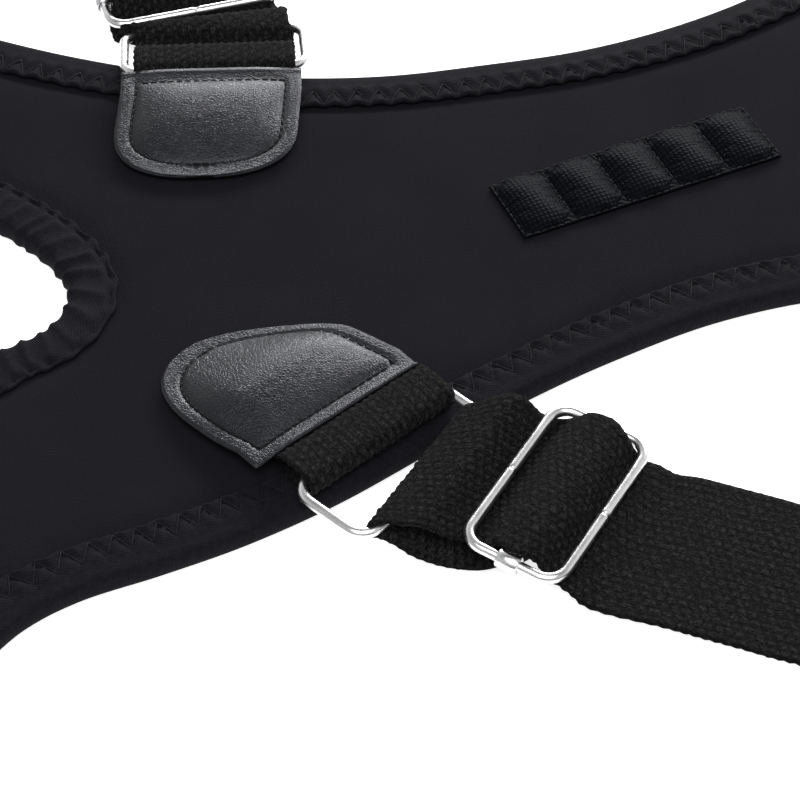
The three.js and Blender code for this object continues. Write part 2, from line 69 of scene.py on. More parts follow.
PANEL_TOP = 5.0
FLOOR_GAP = 0.3
ARM = {"tip_half": 25, "corner": 15, "sewn": 26}
WING = {"end": 430, "corner": 22, "top": -216, "bottom": -300}
STRIP = {"x": -0.5, "y": -67, "turn": 7.8, "pockets": 5}
RING_DEPTH = 18.5
SLIDER = {"length": 40, "depth": 20.6, "bar_radius": 1.2, "bar_play": 0.6}
WIRE_BEND = 4.2
PATCH = {"lean_from": 6, "edge_lift": 1.6, "edge_reach": 14}
TAB = {"bottom": 5.6, "tail": 9, "join_from": 2.3, "join_to": -1.5}
TURN_GAP = 2.8
PIECE_GAP = 0.3

# Where each side's fittings lie, close to the solids. Angles are plan headings in degrees from +X.
SIDES = {
    "left": {
        "patch": {
            "x": -54.4, "y": 15.3, "faces": -156.0, "half_width": 20.9, "depth": 36, "lean": -0.28,
            "flange": 4.5, "rise": 17, "straight": (0.1, 18.0), "power": (2.62, 1.54),
        },
        "droop": {"left": 0.6, "right": 0.1},
        "tab": {
            "x": -55, "y": 15.7, "faces": -155.3,
            "slide": 1.8, "reach": 11.2, "width": 37.2, "shift": 1.3,
        },
        "ring": {
            "length": 39.6, "heading": -149, "slide": -0.2,
            "inset": 6.0, "tab_bar": 8.3, "strap_bar": 8.3,
        },
        "slider": {"x": -84.0, "y": -20.5, "heading": -136.5, "near": 7.7, "mid": 7.0, "far": 6.3},
        "fold": {"heading": -138, "inset": 5.3, "slide": 2.3, "slip": -2.7, "width": 36.4, "curl": 1.6},
    },
    "right": {
        "patch": {
            "x": 53.7, "y": 14.3, "faces": -14.5, "half_width": 20.1, "depth": 31.6, "lean": 0.09,
            "flange": 0.5, "rise": 28, "straight": (18.0, 16.7), "power": (2.36, 2.44),
        },
        "droop": {"left": 0.3, "right": 0.3},
        "tab": {
            "x": 52.2, "y": 15.5, "faces": -13.7,
            "slide": -1.6, "reach": 11.5, "width": 35.6, "shift": 0.0,
        },
        "ring": {
            "length": 40.8, "heading": -12, "slide": -0.1,
            "inset": 3.7, "tab_bar": 8.3, "strap_bar": 4.4,
        },
        "slider": {"x": 90.3, "y": 11.4, "heading": 0, "near": 5.3, "mid": 5.0, "far": 4.6},
        "fold": {"heading": -14, "inset": 4.0, "slide": 0.3, "slip": 0.4, "width": 35.6, "curl": 0.0},
    },
}

# The side edges: a station along the spine, then x of the left and of the right edge.
SIDE_EDGES = [
    (57, -77.5, 83.9),
    (40, -75.0, 71.8),
    (20, -70.0, 60.4),
    (-5, -61.0, 51.4),
    (-25, -54.2, 46.3),
    (-45, -48.9, 43.9),
    (-70, -44.6, 42.2),
    (-95, -45.0, 44.5),
    (-120, -51.0, 51.0),
]
BELT_UPPER = [(64, -148), (92, -176), (135, -196), (205, -206), (310, -212)]
BELT_LOWER = [(290, -306), (140, -312), (0, -314)]
ARMS = {
    "left": {
        "tip": (-97, 207),
        "heading": 110,
        "outer": [(-79.4, 74), (-83, 85), (-92, 99), (-104, 126), (-112, 155)],
        "inner": [(-17, 84), (-26, 108), (-40, 138), (-56, 170)],
    },
    "right": {
        "tip": (143, 172),
        "heading": 46,
        "outer": [(97, 73), (112, 90), (132, 112), (147, 129)],
        "inner": [(30, 73.5), (48, 90), (70, 114), (92, 140)],
    },
}
NECK = [(-12.9, 75), (-10, 66), (-4.5, 60.3), (2.5, 58.4), (11, 60.6), (21, 66.4)]
NECK_MIDDLE = (2.5, 58.4)

# The straps' way round: x, y, then stand, which is 0 lying flat and 1 on edge, and lift off the floor.
STRAP_ROUTES = {
    "left": [
        (-100.9, -40.4, 0, 0.9), (-114.1, -59.5, 0), (-130.7, -82, 0.08), (-155, -102, 0.6),
        (-183, -105, 1), (-206, -86, 1), (-214, -48, 1), (-211, 22, 1), (-203, 100, 1),
        (-192, 172, 1), (-179, 220, 1), (-155, 246, 0.9), (-127, 247, 0.45), (-108, 234, 0.08),
    ],
    "right": [
        (109, 12.2, 0), (148, 16, 0), (190, 20, 0.1), (232, 24, 0.6), (274, 32, 1), (320, 56, 1),
        (350, 97, 1), (356, 147, 1), (334, 194, 1), (290, 223, 1), (236, 226, 0.9),
        (194, 214, 0.45), (165, 193, 0.08),
    ],
}

# The camera as the photograph was taken, in plan millimetres and degrees.
CAMERA = {"x": -415.99, "y": 110.65, "z": 419.18, "heading": -16.635, "down": 47.32, "lens": 126.0}


# Plan geometry


def heading(degrees):
    angle = math.radians(degrees)
    return np.array((math.cos(angle), math.sin(angle)))


def left_of(way):
    return np.array((-way[1], way[0]))


def step(start, way, along, across=0.0):
    """A plan point so far along a heading and so far to its left."""
    return np.asarray(start, float)[:2] + way * along + left_of(way) * across


def unit(vectors):
    return vectors / np.maximum(np.linalg.norm(vectors, axis=-1, keepdims=True), 1e-12)


def ease(x, low, high):
    t = np.clip((x - low) / (high - low), 0, 1)
    return t * t * (3 - 2 * t)


def arc(centre, radius, start, end, steps):
    return [step(centre, heading(start + (end - start) * i / steps), radius) for i in range(steps + 1)]


def smooth_path(points, steps, chord=None):
    """Points on a centripetal curve through a table, so many steps between each two rows.

    chord is the number of leading columns whose distance paces the curve."""
    table = np.asarray(points, float)
    rows = np.vstack((2 * table[0] - table[1], table, 2 * table[-1] - table[-2]))
    share = (np.arange(steps) / steps)[:, None]
    parts = []
    for a, b, c, d in zip(rows[:-3], rows[1:-2], rows[2:-1], rows[3:]):
        gaps = [max(np.linalg.norm((q - p)[:chord]), 1e-6) ** 0.5 for p, q in ((a, b), (b, c), (c, d))]
        before, here, after = gaps
        leave = here * ((b - a) / before - (c - a) / (before + here) + (c - b) / here)
        reach = here * ((c - b) / here - (d - b) / (here + after) + (d - c) / after)
        bow = -3 * b + 3 * c - 2 * leave - reach
        twist = 2 * b - 2 * c + leave + reach
        parts.append(b + leave * share + bow * share**2 + twist * share**3)
    return np.vstack((*parts, table[-1:]))


def at_run(at, run, rows):
    """Rows of a table at places along the run that goes with it."""
    return np.stack([np.interp(at, run, column) for column in rows.T], axis=-1)


def evenly(rows, spacing, chord):
    """Rows spaced evenly along the line that their leading columns follow, and the run to each."""
    run = np.append(0, np.cumsum(np.linalg.norm(np.diff(rows[:, :chord], axis=0), axis=1)))
    stops = np.linspace(0, run[-1], max(2, round(run[-1] / spacing) + 1))
    return at_run(stops, run, rows), stops


def rounded_box(half_x, half_y, corner, steps):
    """A plan rectangle with round corners, counter-clockwise from above."""
    x, y = half_x - corner, half_y - corner
    turns = ((x, y, 0), (-x, y, 90), (-x, -y, 180), (x, -y, 270))
    return [point for a, b, turn in turns for point in arc((a, b), corner, turn, turn + 90, steps)]


# The panel's outline, clockwise from above, in two open paths that meet at the arm tips

MIRROR = {"left": -1, "right": 1}
SEAM_SHARE = PIECE_GAP / 2 + 0.05
CORNER_STEPS = 8
EDGE_STEPS = 14


def arm_end(side, turn):
    arm = ARMS[side]
    way = heading(arm["heading"])
    centre = step(arm["tip"], way, -ARM["corner"], turn * (ARM["tip_half"] - ARM["corner"]))
    corner = arc(centre, ARM["corner"], arm["heading"], arm["heading"] + turn * 90, CORNER_STEPS)
    return [step(arm["tip"], way, 0, turn * SEAM_SHARE), *corner]


def outer_half(side):
    """From the middle of an arm's tip down the side and along the belt to its lower middle."""
    mirror, corner = MIRROR[side], WING["corner"]
    tip = arm_end(side, -mirror)
    middle = mirror * (WING["end"] - corner)
    turn = 90 - mirror * 90
    upper = arc((middle, WING["top"] - corner), corner, 90, turn, CORNER_STEPS)
    lower = arc((middle, WING["bottom"] + corner), corner, turn, turn - mirror * 90, CORNER_STEPS)
    belt = [[(mirror * x, y) for x, y in line] for line in (BELT_UPPER, BELT_LOWER)]
    sides = [(left if side == "left" else right, y) for y, left, right in SIDE_EDGES]
    down = [tip[-1], *reversed(ARMS[side]["outer"]), *sides, *belt[0], upper[0]]
    edge = smooth_path(down, EDGE_STEPS)
    hem = smooth_path([lower[-1], *belt[1]], EDGE_STEPS)
    return np.vstack((tip[:-1], edge[:-1], upper, lower[:-1], hem))


def outer_path():
    return np.vstack((outer_half("right"), outer_half("left")[::-1][1:]))


def neck_path():
    left = arm_end("left", -1)
    right = arm_end("right", 1)[::-1]
    inner = [*reversed(ARMS["left"]["inner"]), *NECK, *ARMS["right"]["inner"]]
    edge = smooth_path([left[-1], *inner, right[0]], EDGE_STEPS)
    return np.vstack((left[:-1], edge, right[1:]))


def inward_of(path):
    ahead = unit(np.gradient(path, axis=0))
    return np.stack((ahead[:, 1], -ahead[:, 0]), axis=1)


# Meshes


def grid_faces(rows, columns, rows_joined=False, columns_joined=True):
    """Quads over rows of points, as index fours."""
    last_row = rows if rows_joined else rows - 1
    last_column = columns if columns_joined else columns - 1
    i, k = (index.ravel() for index in np.indices((last_row, last_column)))
    here, below = i * columns, (i + 1) % rows * columns
    beside = (k + 1) % columns
    return np.stack((here + k, here + beside, below + beside, below + k), axis=1)


def loft(sections, joined=False):
    """Points and faces of a closed solid through sections of equal length, capped unless joined."""
    rows, columns = sections.shape[:2]
    points = sections.reshape(-1, 3)
    quads = grid_faces(rows, columns, rows_joined=joined)
    a, b, c, d = (points[quads[:, n]] for n in range(4))
    volume = (a * np.cross(b, c)).sum() + (a * np.cross(c, d)).sum()
    faces = quads.tolist()
    if not joined:
        faces += [[*range(columns)][::-1], [*range((rows - 1) * columns, rows * columns)]]
    return points, [face[::-1] for face in faces] if volume < 0 else faces


def joined_meshes(shapes):
    """One point array and face list from several."""
    faces, start = [], 0
    for points, part in shapes:
        faces += [[index + start for index in face] for face in part]
        start += len(points)
    return np.vstack([points for points, _ in shapes]), faces


ACROSS_WIRE = (0.3, 0.2, 1.0)
STITCH_SHARES = np.array((0, 0.12, 0.35, 0.65, 0.88, 1.0))
STITCH_RISE = np.array((-0.84, 0.12, 0.6, 0.6, 0.12, -0.84))
STITCH_SIDES = 6


def tube(path, radius, sides, joined=False):
    """A round wire or thread along a path, with radius one number or one for each point."""
    path = np.asarray(path, float)
    ahead = np.roll(path, -1, 0) - np.roll(path, 1, 0) if joined else np.gradient(path, axis=0)
    ahead = unit(ahead)
    normal = np.empty_like(path)
    seed = np.cross(ahead[0], ACROSS_WIRE)
    for i, way in enumerate(ahead):
        seed = unit(seed - way * seed.dot(way))
        normal[i] = seed
    angle = (np.arange(sides) * 2 * math.pi / sides)[:, None]
    around = normal[:, None] * np.cos(angle) + np.cross(ahead, normal)[:, None] * np.sin(angle)
    reach = np.broadcast_to(radius, len(path))[:, None, None]
    return loft(path[:, None] + around * reach, joined)


def add_piece(context, name, shape, finish, node=None, run=None):
    """A piece from its points in plan millimetres and its faces, riding on the frame.

    node is what it stands for, and run each point's place along and across the cloth."""
    points, faces = shape
    mesh = bpy.data.meshes.new(name)
    mesh.from_pydata(((points + ORIGIN) * MM).tolist(), [], faces)
    if run is not None:
        places = mesh.attributes.new("run", "FLOAT_VECTOR", "POINT")
        places.data.foreach_set("vector", np.ravel(run).astype(np.float32))
    mesh.shade_smooth()
    mesh.materials.append(finish_of(context, finish))
    mesh.validate()
    mesh.update()
    piece = bpy.data.objects.new(name, mesh)
    context.collection.objects.link(piece)
    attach(piece, "root")
    if node:
        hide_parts(node)
    return piece


def sew(context, name, slot, starts, ends, thread):
    """Short threads between pairs of points, each dipping into the cloth at both ends."""
    dip = np.outer(STITCH_RISE * thread, (0.0, 0.0, 1.0))
    paths = [a + (b - a) * STITCH_SHARES[:, None] + dip for a, b in zip(starts, ends)]
    shape = joined_meshes([tube(path, thread, STITCH_SIDES) for path in paths])
    return add_piece(context, name, shape, "thread")


def stitch_ends(line, run, pitch, shares, first=0.0, last=None):
    """Where each stitch along a line starts and ends, as shares of its pitch."""
    stops = np.arange(first, run[-1] - (pitch if last is None else last), pitch)
    return [at_run(stops + pitch * share, run, line) for share in shares]


# Shader nodes

VECTOR, FLOAT = "NodeSocketVector", "NodeSocketFloat"
BLACK, WHITE = (0.0, 0.0, 0.0, 1.0), (1.0, 1.0, 1.0, 1.0)


class NodeBench:
    """Adds nodes to one tree, with inputs that are values or other nodes' outputs."""

    def __init__(self, tree):
        self.tree = tree

    def plug(self, value, socket):
        if isinstance(value, bpy.types.NodeSocket):
            self.tree.links.new(value, socket)
        else:
            socket.default_value = value

    def add(self, kind, inputs=None, **settings):
        node = self.tree.nodes.new(kind)
        for key, value in settings.items():
            setattr(node, key, value)
        for socket, value in (inputs or {}).items():
            self.plug(value, node.inputs[socket])
        return node

    def math(self, operation, first, second=0.0):
        return self.add("ShaderNodeMath", {0: first, 1: second}, operation=operation).outputs[0]

    def plus(self, first, second, weight=1.0):
        values = {0: second, 1: weight, 2: first}
        return self.add("ShaderNodeMath", values, operation="MULTIPLY_ADD").outputs[0]

    def dot(self, first, second):
        values = {0: first, 1: second}
        return self.add("ShaderNodeVectorMath", values, operation="DOT_PRODUCT").outputs["Value"]

    def ramp(self, value, low, high, to_low=0.0, to_high=1.0):
        ends = {"From Min": low, "From Max": high, "To Min": to_low, "To Max": to_high}
        return self.add("ShaderNodeMapRange", {"Value": value, **ends}).outputs["Result"]

    def mix(self, share, first, second):
        """Two colours mixed. Sockets 6 and 7 take the node's colours, and 2 gives the result."""
        values = {0: share, 6: first, 7: second}
        return self.add("ShaderNodeMix", values, data_type="RGBA").outputs[2]

    def noise(self, vector, scale, detail=3.0, roughness=0.55):
        values = {"Vector": vector, "Scale": scale, "Detail": detail, "Roughness": roughness}
        return self.add("ShaderNodeTexNoise", values).outputs["Fac"]

    def stretched(self, vector, scale):
        return self.add("ShaderNodeMapping", {"Vector": vector, "Scale": scale}).outputs[0]

    def up(self, vector):
        return self.add("ShaderNodeSeparateXYZ", {"Vector": vector}).outputs["Z"]


def fibre_fuzz(bench, given):
    """Fine uneven fibres, a broad shade and a scatter of lint, in millimetres."""
    place = given["Vector"]
    return {
        "Height": bench.noise(place, given["Fineness"], 4.0, 0.65),
        "Shade": bench.noise(place, 0.06, 2.0),
        "Lint": bench.ramp(bench.noise(place, 1.9, 1.0), 0.78, 0.84),
    }


def twill_ribs(bench, given):
    """Slanting ribs of a woven cloth, from its run along and across."""
    waves = []
    for socket in ("Ribs", "Cross ribs"):
        phase = bench.math("MULTIPLY", bench.dot(given["Run"], given[socket]), 2 * math.pi)
        waves.append(bench.ramp(bench.math("SINE", phase), -1.0, 1.0))
    return {"Height": bench.math("MULTIPLY", *waves)}


GROUPS = {
    "Fibre fuzz": (fibre_fuzz, {"Vector": VECTOR, "Fineness": FLOAT}, ("Height", "Shade", "Lint")),
    "Twill ribs": (twill_ribs, {"Run": VECTOR, "Ribs": VECTOR, "Cross ribs": VECTOR}, ("Height",)),
}


def node_group(name):
    """The named shader group, made once."""
    existing = bpy.data.node_groups.get(name)
    if existing:
        return existing
    fill, inputs, outputs = GROUPS[name]
    tree = bpy.data.node_groups.new(name, "ShaderNodeTree")
    for socket, kind in inputs.items():
        tree.interface.new_socket(socket, in_out="INPUT", socket_type=kind)
    for socket in outputs:
        tree.interface.new_socket(socket, in_out="OUTPUT", socket_type=FLOAT)
    bench = NodeBench(tree)
    bench.add("NodeGroupOutput", fill(bench, bench.add("NodeGroupInput").outputs))
    return tree


class FinishBench(NodeBench):
    """The bench of one new material, which shades its colour and feeds its shader."""

    def __init__(self, name, colour):
        self.material = bpy.data.materials.new(f"{name} finish")
        self.material.use_nodes = True
        super().__init__(self.material.node_tree)
        self.shader = next(node for node in self.tree.nodes if node.type == "BSDF_PRINCIPLED")
        self.colour = tuple(colour)
        values = {0: self.add("ShaderNodeTexCoord").outputs["Object"], "Scale": 1 / MM}
        self.place = self.add("ShaderNodeVectorMath", values, operation="SCALE").outputs[0]

    def run(self):
        return self.add("ShaderNodeAttribute", attribute_name="run").outputs["Vector"]

    def fuzz(self, fineness):
        values = {"Vector": self.place, "Fineness": fineness}
        return self.add("ShaderNodeGroup", values, node_tree=node_group("Fibre fuzz")).outputs

    def twill(self, ribs, cross):
        values = {"Run": self.run(), "Ribs": (*ribs, 0), "Cross ribs": (*cross, 0)}
        return self.add("ShaderNodeGroup", values, node_tree=node_group("Twill ribs")).outputs["Height"]

    def shade(self, factor):
        return (*(channel * factor for channel in self.colour), 1.0)

    def shades(self, share, low, high):
        return self.mix(share, self.shade(low), self.shade(high))

    def linted(self, base, fuzz, share, factor):
        return self.mix(self.math("MULTIPLY", fuzz["Lint"], share), base, self.shade(factor))

    def feed(self, **values):
        """Sets or links the shader's sockets, named with underscores for spaces."""
        for socket, value in values.items():
            self.plug(value, self.shader.inputs[socket.replace("_", " ")])

    def bump(self, height, strength, distance):
        values = {"Height": height, "Strength": strength, "Distance": distance}
        self.feed(Normal=self.add("ShaderNodeBump", values).outputs["Normal"])


def neoprene_finish(bench):
    fuzz = bench.fuzz(1.6)
    knit = bench.noise(bench.place, 3.4, 2.0)
    tint = bench.shades(bench.ramp(fuzz["Shade"], 0.3, 0.7), 0.82, 1.18)
    flecked = bench.mix(bench.ramp(knit, 0.35, 0.75), tint, bench.shade(1.6))
    bench.bump(bench.plus(fuzz["Height"], knit), 0.5, 0.0003)
    bench.feed(Base_Color=bench.linted(flecked, fuzz, 0.35, 5.0))
    bench.feed(Roughness=0.95, Specular_IOR_Level=0.05)


def binding_tape_finish(bench):
    twill = bench.twill((1.25, 1.25), (0.9, -1.6))
    fuzz = bench.fuzz(0.9)
    ribbed = bench.shades(twill, 0.7, 1.25)
    tint = bench.mix(bench.ramp(fuzz["Height"], 0.35, 0.65, 0.0, 0.75), ribbed, bench.shade(1.7))
    bench.bump(bench.plus(twill, fuzz["Height"], 0.8), 0.45, 0.0002)
    bench.feed(Base_Color=bench.linted(tint, fuzz, 0.3, 5.0))
    bench.feed(Roughness=0.85, Specular_IOR_Level=0.08)


def satin_finish(bench):
    weave = bench.twill((1.1, 0), (0, 1.1))
    bench.bump(bench.plus(weave, bench.fuzz(2.5)["Height"], 0.4), 0.4, 0.00025)
    bench.feed(Base_Color=bench.shades(weave, 0.55, 1.7), Roughness=bench.ramp(weave, 0, 1, 0.48, 0.36))
    bench.feed(Specular_IOR_Level=0.022, Specular_Tint=(0.7, 0.82, 1.0, 1.0))


def leather_finish(bench):
    wander = bench.add("ShaderNodeTexNoise", {"Vector": bench.place, "Scale": 0.7, "Detail": 1.0})
    pushed = {0: wander.outputs["Color"], 1: (0.5, 0.5, 0.5), 2: bench.place}
    bent = bench.add("ShaderNodeVectorMath", pushed, operation="MULTIPLY_ADD").outputs[0]
    cells = {"Vector": bent, "Scale": 1.6, "Randomness": 1.0}
    pebble = bench.add("ShaderNodeTexVoronoi", cells, feature="DISTANCE_TO_EDGE")
    crease = bench.ramp(pebble.outputs["Distance"], 0.0, 0.22)
    broad = bench.ramp(bench.noise(bench.place, 0.09, 2.0), 0.3, 0.7, 0.25, 0.31)
    bench.bump(bench.plus(crease, bench.noise(bench.place, 4.0, 2.0), 0.25), 0.46, 0.00009)
    # Base colour darker in the pebbles' creases: painted shade. The same crease mask also gives the real
    # bump and roughness.
    bench.feed(Base_Color=bench.shades(crease, 0.75, 1.1))
    bench.feed(Roughness=bench.plus(broad, bench.ramp(crease, 0, 1, 0.1, 0.0)))
    bench.feed(Specular_IOR_Level=0.36, Specular_Tint=(0.87, 0.9, 1.0, 1.0))


def webbing_finish(bench):
    run, fuzz = bench.run(), bench.fuzz(1.9)
    strand = bench.noise(bench.stretched(run, (0.9, 3.2, 1.0)), 1.0, 3.0, 0.6)
    # Base colour darker in the weave's gaps and lighter on its raised cells, from each cell's height:
    # painted shade and painted light.
    tint = bench.shades(bench.ramp(bench.up(run), 0.15, 0.8), 0.12, 1.6)
    streaked = bench.mix(bench.ramp(strand, 0.45, 0.75, 0.0, 0.6), tint, bench.shade(3.2))
    matted = bench.mix(bench.ramp(fuzz["Height"], 0.38, 0.62), bench.shade(0.1), streaked)
    bench.bump(bench.plus(fuzz["Height"], strand, 1.4), 0.7, 0.00035)
    bench.feed(Base_Color=bench.linted(matted, fuzz, 0.5, 7.0))
    bench.feed(Roughness=0.85, Specular_IOR_Level=0.08)


def thread_finish(bench):
    twist = bench.noise(bench.place, 5.0, 2.0)
    bench.bump(twist, 0.5, 0.0001)
    bench.feed(Base_Color=bench.shades(twist, 0.6, 1.5), Roughness=0.7, Specular_IOR_Level=0.2)


def nickel_finish(bench):
    haze = bench.noise(bench.stretched(bench.place, (0.4, 0.4, 3.0)), 0.8, 4.0)
    bench.bump(bench.noise(bench.place, 1.2, 3.0), 0.06, 0.0002)
    bench.feed(Base_Color=bench.shades(haze, 0.9, 1.0), Metallic=1.0)
    bench.feed(Roughness=bench.ramp(haze, 0.3, 0.7, 0.22, 0.32))


def hook_tape_finish(bench):
    hooks = bench.twill((0.62, 0), (0, 0.62))
    bench.bump(bench.plus(hooks, bench.fuzz(3.0)["Height"]), 0.9, 0.0006)
    bench.feed(Base_Color=bench.shades(hooks, 0.5, 2.0), Roughness=0.6, Specular_IOR_Level=0.15)


FINISHES = {
    "neoprene": neoprene_finish,
    "binding tape": binding_tape_finish,
    "satin": satin_finish,
    "leather": leather_finish,
    "webbing": webbing_finish,
    "thread": thread_finish,
    "nickel": nickel_finish,
    "hook tape": hook_tape_finish,
}


def finish_of(context, name):
    """The named material, made once from its colour property."""
    found = bpy.data.materials.get(f"{name} finish")
    if found:
        return found
    bench = FinishBench(name, getattr(context.scene.brace_colours, name.replace(" ", "_")))
    FINISHES[name](bench)
    return bench.material


# Properties


def amount(name, description, default, unit="NONE"):
    return FloatProperty(name=name, description=description, default=default, min=0.0, unit=unit)


def length(name, description, millimetres):
    return amount(name, description, millimetres * MM, "LENGTH")


def colour(name, *red_green_blue):
    text = f"Base colour of the {name}"
    kind = {"subtype": "COLOR", "min": 0.0, "max": 1.0}
    return FloatVectorProperty(name=name.capitalize(), description=text, default=red_green_blue, **kind)


class BraceSizes(bpy.types.PropertyGroup):
    """Sizes of the cloth, the tape and the wire."""

    binding_width: length("Binding width", "Width of the folded tape on the upper face", 10.0)
    zigzag_pitch: length("Zigzag pitch", "Length of one zigzag along the binding", 4.7)
    gather_pitch: length("Gather pitch", "Length of one gather round the neck", 4.6)
    gather_height: length("Gather height", "How far the neck gathers stand up", 0.85)
    webbing_width: length("Webbing width", "Width of the strap where it runs free", 38.2)
    webbing_held: length("Held width", "Width of the webbing round the rings and at its sewn end", 35.2)
    webbing_passing: length("Passing width", "Width of the strap inside a slide buckle", 36.4)
    webbing_thick: length("Webbing thickness", "Thickness of the strap", 1.3)
    weave_along: length("Weave length", "Length of one cell of the weave along the strap", 2.05)
    weave_across: length("Weave width", "Width of one cell of the weave across the strap", 1.82)
    weave_relief: length("Weave relief", "Height of one cell of the weave", 0.5)
    wire_radius: length("Wire radius", "Radius of the bent wire", 1.1)
    leather_thick: length("Leather thickness", "Thickness of the patches", 1.1)
    stitch_pitch: length("Stitch pitch", "Length of one stitch on the leather", 1.9)
    thread_radius: length("Thread radius", "Radius of the sewing thread", 0.24)
    strip_length: length("Strip length", "Length of the pocket strip", 62.5)
    strip_width: length("Strip width", "Width of the pocket strip", 17.6)
    pocket_puff: length("Pocket puff", "How far the pockets stand up", 2.4)


class BraceColours(bpy.types.PropertyGroup):
    """Base colours of the finishes."""

    neoprene: colour("neoprene", 0.0068, 0.0066, 0.0088)
    binding_tape: colour("binding tape", 0.0053, 0.0052, 0.0074)
    satin: colour("satin", 0.0032, 0.0036, 0.0050)
    leather: colour("leather", 0.0075, 0.0077, 0.0092)
    webbing: colour("webbing", 0.0150, 0.0150, 0.0153)
    thread: colour("thread", 0.0080, 0.0080, 0.0090)
    nickel: colour("nickel", 0.84, 0.84, 0.85)
    hook_tape: colour("hook tape", 0.0060, 0.0060, 0.0065)
    floor: colour("floor", 0.80, 0.80, 0.80)


class BraceStudio(bpy.types.PropertyGroup):
    """Light and floor of the stage."""

    sky: amount("Sky", "Strength of the even white surround", 0.95)
    top_light: amount("Top light", "Power of the box above the camera", 8.5, "POWER")
    far_light: amount("Far light", "Power of the low strip behind", 12.0, "POWER")
    floor_glow: amount("Floor glow", "Light from the table itself", 0.75)
    floor_size: amount("Floor size", "Side of the floor", 8.0, "LENGTH")


def sizes_in_mm(context):
    """The size properties as plain millimetres."""
    group = context.scene.brace_sizes
    return SimpleNamespace(**{name: getattr(group, name) / MM for name in BraceSizes.__annotations__})


# Pieces


class BRACE_OT_stage(bpy.types.Operator):
    """Adds the pale floor, the soft light and the camera of the photograph."""

    bl_idname = "brace.stage"
    bl_label = "Stage and camera"

    GLOW_FROM = (0.70, -0.54, 0.46)
    GLOW = (-0.3, 0.9, 0.55, 1.0)
    WALL = (0.5, 0.95, 1.0, 0.14)
    TOP_BOX = {"place": (-450, 130, 900), "size": (800, 800)}
    FAR_STRIP = {"place": (745, -490, 360), "size": (1000, 220)}
    SEEN_TO = 50.0

    def execute(self, context):
        studio = context.scene.brace_studio
        self.add_camera(context)
        self.add_floor(context, studio)
        self.add_world(context, studio)
        self.add_light(context, "top box", studio.top_light, **self.TOP_BOX)
        self.add_light(context, "far strip", studio.far_light, **self.FAR_STRIP)
        context.scene.view_settings.view_transform = "Standard"
        return {"FINISHED"}

    def add_world(self, context, studio):
        """An even surround, brighter low down and on the far side."""
        world = bpy.data.worlds.new("studio")
        world.use_nodes = True
        bench = NodeBench(world.node_tree)
        way = bench.add("ShaderNodeTexCoord").outputs["Generated"]
        glow = bench.ramp(bench.dot(way, self.GLOW_FROM), *self.GLOW)
        wall = bench.ramp(bench.up(way), *self.WALL)
        background = world.node_tree.nodes["Background"].inputs
        bench.plug(bench.mix(bench.math("MULTIPLY", glow, wall), BLACK, WHITE), background["Color"])
        bench.plug(studio.sky, background["Strength"])
        context.scene.world = world

    def place(self, context, name, data, at, look):
        """A camera or a light at a plan place, looking one way."""
        thing = bpy.data.objects.new(name, data)
        thing.location = Vector((np.array(at) + ORIGIN) * MM)
        thing.rotation_euler = Vector(look).to_track_quat("-Z", "Y").to_euler()
        context.collection.objects.link(thing)
        return thing

    def add_camera(self, context):
        lens = bpy.data.cameras.new("photo camera")
        lens.lens = CAMERA["lens"]
        lens.clip_end = self.SEEN_TO
        down = math.radians(CAMERA["down"])
        look = (*(heading(CAMERA["heading"]) * math.cos(down)), -math.sin(down))
        at = (CAMERA["x"], CAMERA["y"], CAMERA["z"])
        context.scene.camera = self.place(context, "photo camera", lens, at, look)

    def add_floor(self, context, studio):
        mesh = bpy.data.meshes.new("floor")
        half = studio.floor_size / 2
        corners = [(-half, -half, 0), (half, -half, 0), (half, half, 0), (-half, half, 0)]
        mesh.from_pydata(corners, [], [(0, 1, 2, 3)])
        bench = FinishBench("floor", context.scene.brace_colours.floor)
        grain = bench.noise(bench.place, 0.02, 2.0)
        bench.feed(Base_Color=bench.shades(grain, 0.99, 1.0), Roughness=0.9, Specular_IOR_Level=0.0)
        bench.feed(Emission_Color=WHITE, Emission_Strength=studio.floor_glow)
        mesh.materials.append(bench.material)
        floor = bpy.data.objects.new("floor", mesh)
        context.collection.objects.link(floor)

    def add_light(self, context, name, power, place, size):
        """A soft box at a place, aimed at the middle of the panel. size is its width and height."""
        lamp = bpy.data.lights.new(name, "AREA")
        lamp.shape = "RECTANGLE"
        lamp.size, lamp.size_y = (side * MM for side in size)
        lamp.energy = power
        self.place(context, name, lamp, place, -Vector(place))


CHUNK = 400


def edge_distance(points, loop):
    """Distance of plan points from a closed loop."""
    starts, ends = loop, np.roll(loop, -1, 0)
    span = ends - starts
    square = np.maximum((span**2).sum(axis=1), 1e-12)
    nearest = np.empty(len(points))
    for first in range(0, len(points), CHUNK):
        offset = points[first : first + CHUNK, None] - starts[None]
        share = np.clip((offset * span).sum(axis=2) / square, 0, 1)
        gap = offset - span * share[..., None]
        nearest[first : first + CHUNK] = np.sqrt((gap**2).sum(axis=2).min(axis=1))
    return nearest


def inside(points, loop):
    """Which plan points lie inside a closed loop."""
    x1, y1 = loop.T
    x2, y2 = np.roll(loop, -1, 0).T
    crossed = np.zeros(len(points), int)
    for a, b, c, d in zip(x1, y1, x2, y2):
        if b == d:
            continue
        hits = (b > points[:, 1]) != (d > points[:, 1])
        at = a + (points[:, 1] - b) / (d - b) * (c - a)
        crossed += hits & (points[:, 0] < at)
    return crossed % 2 == 1


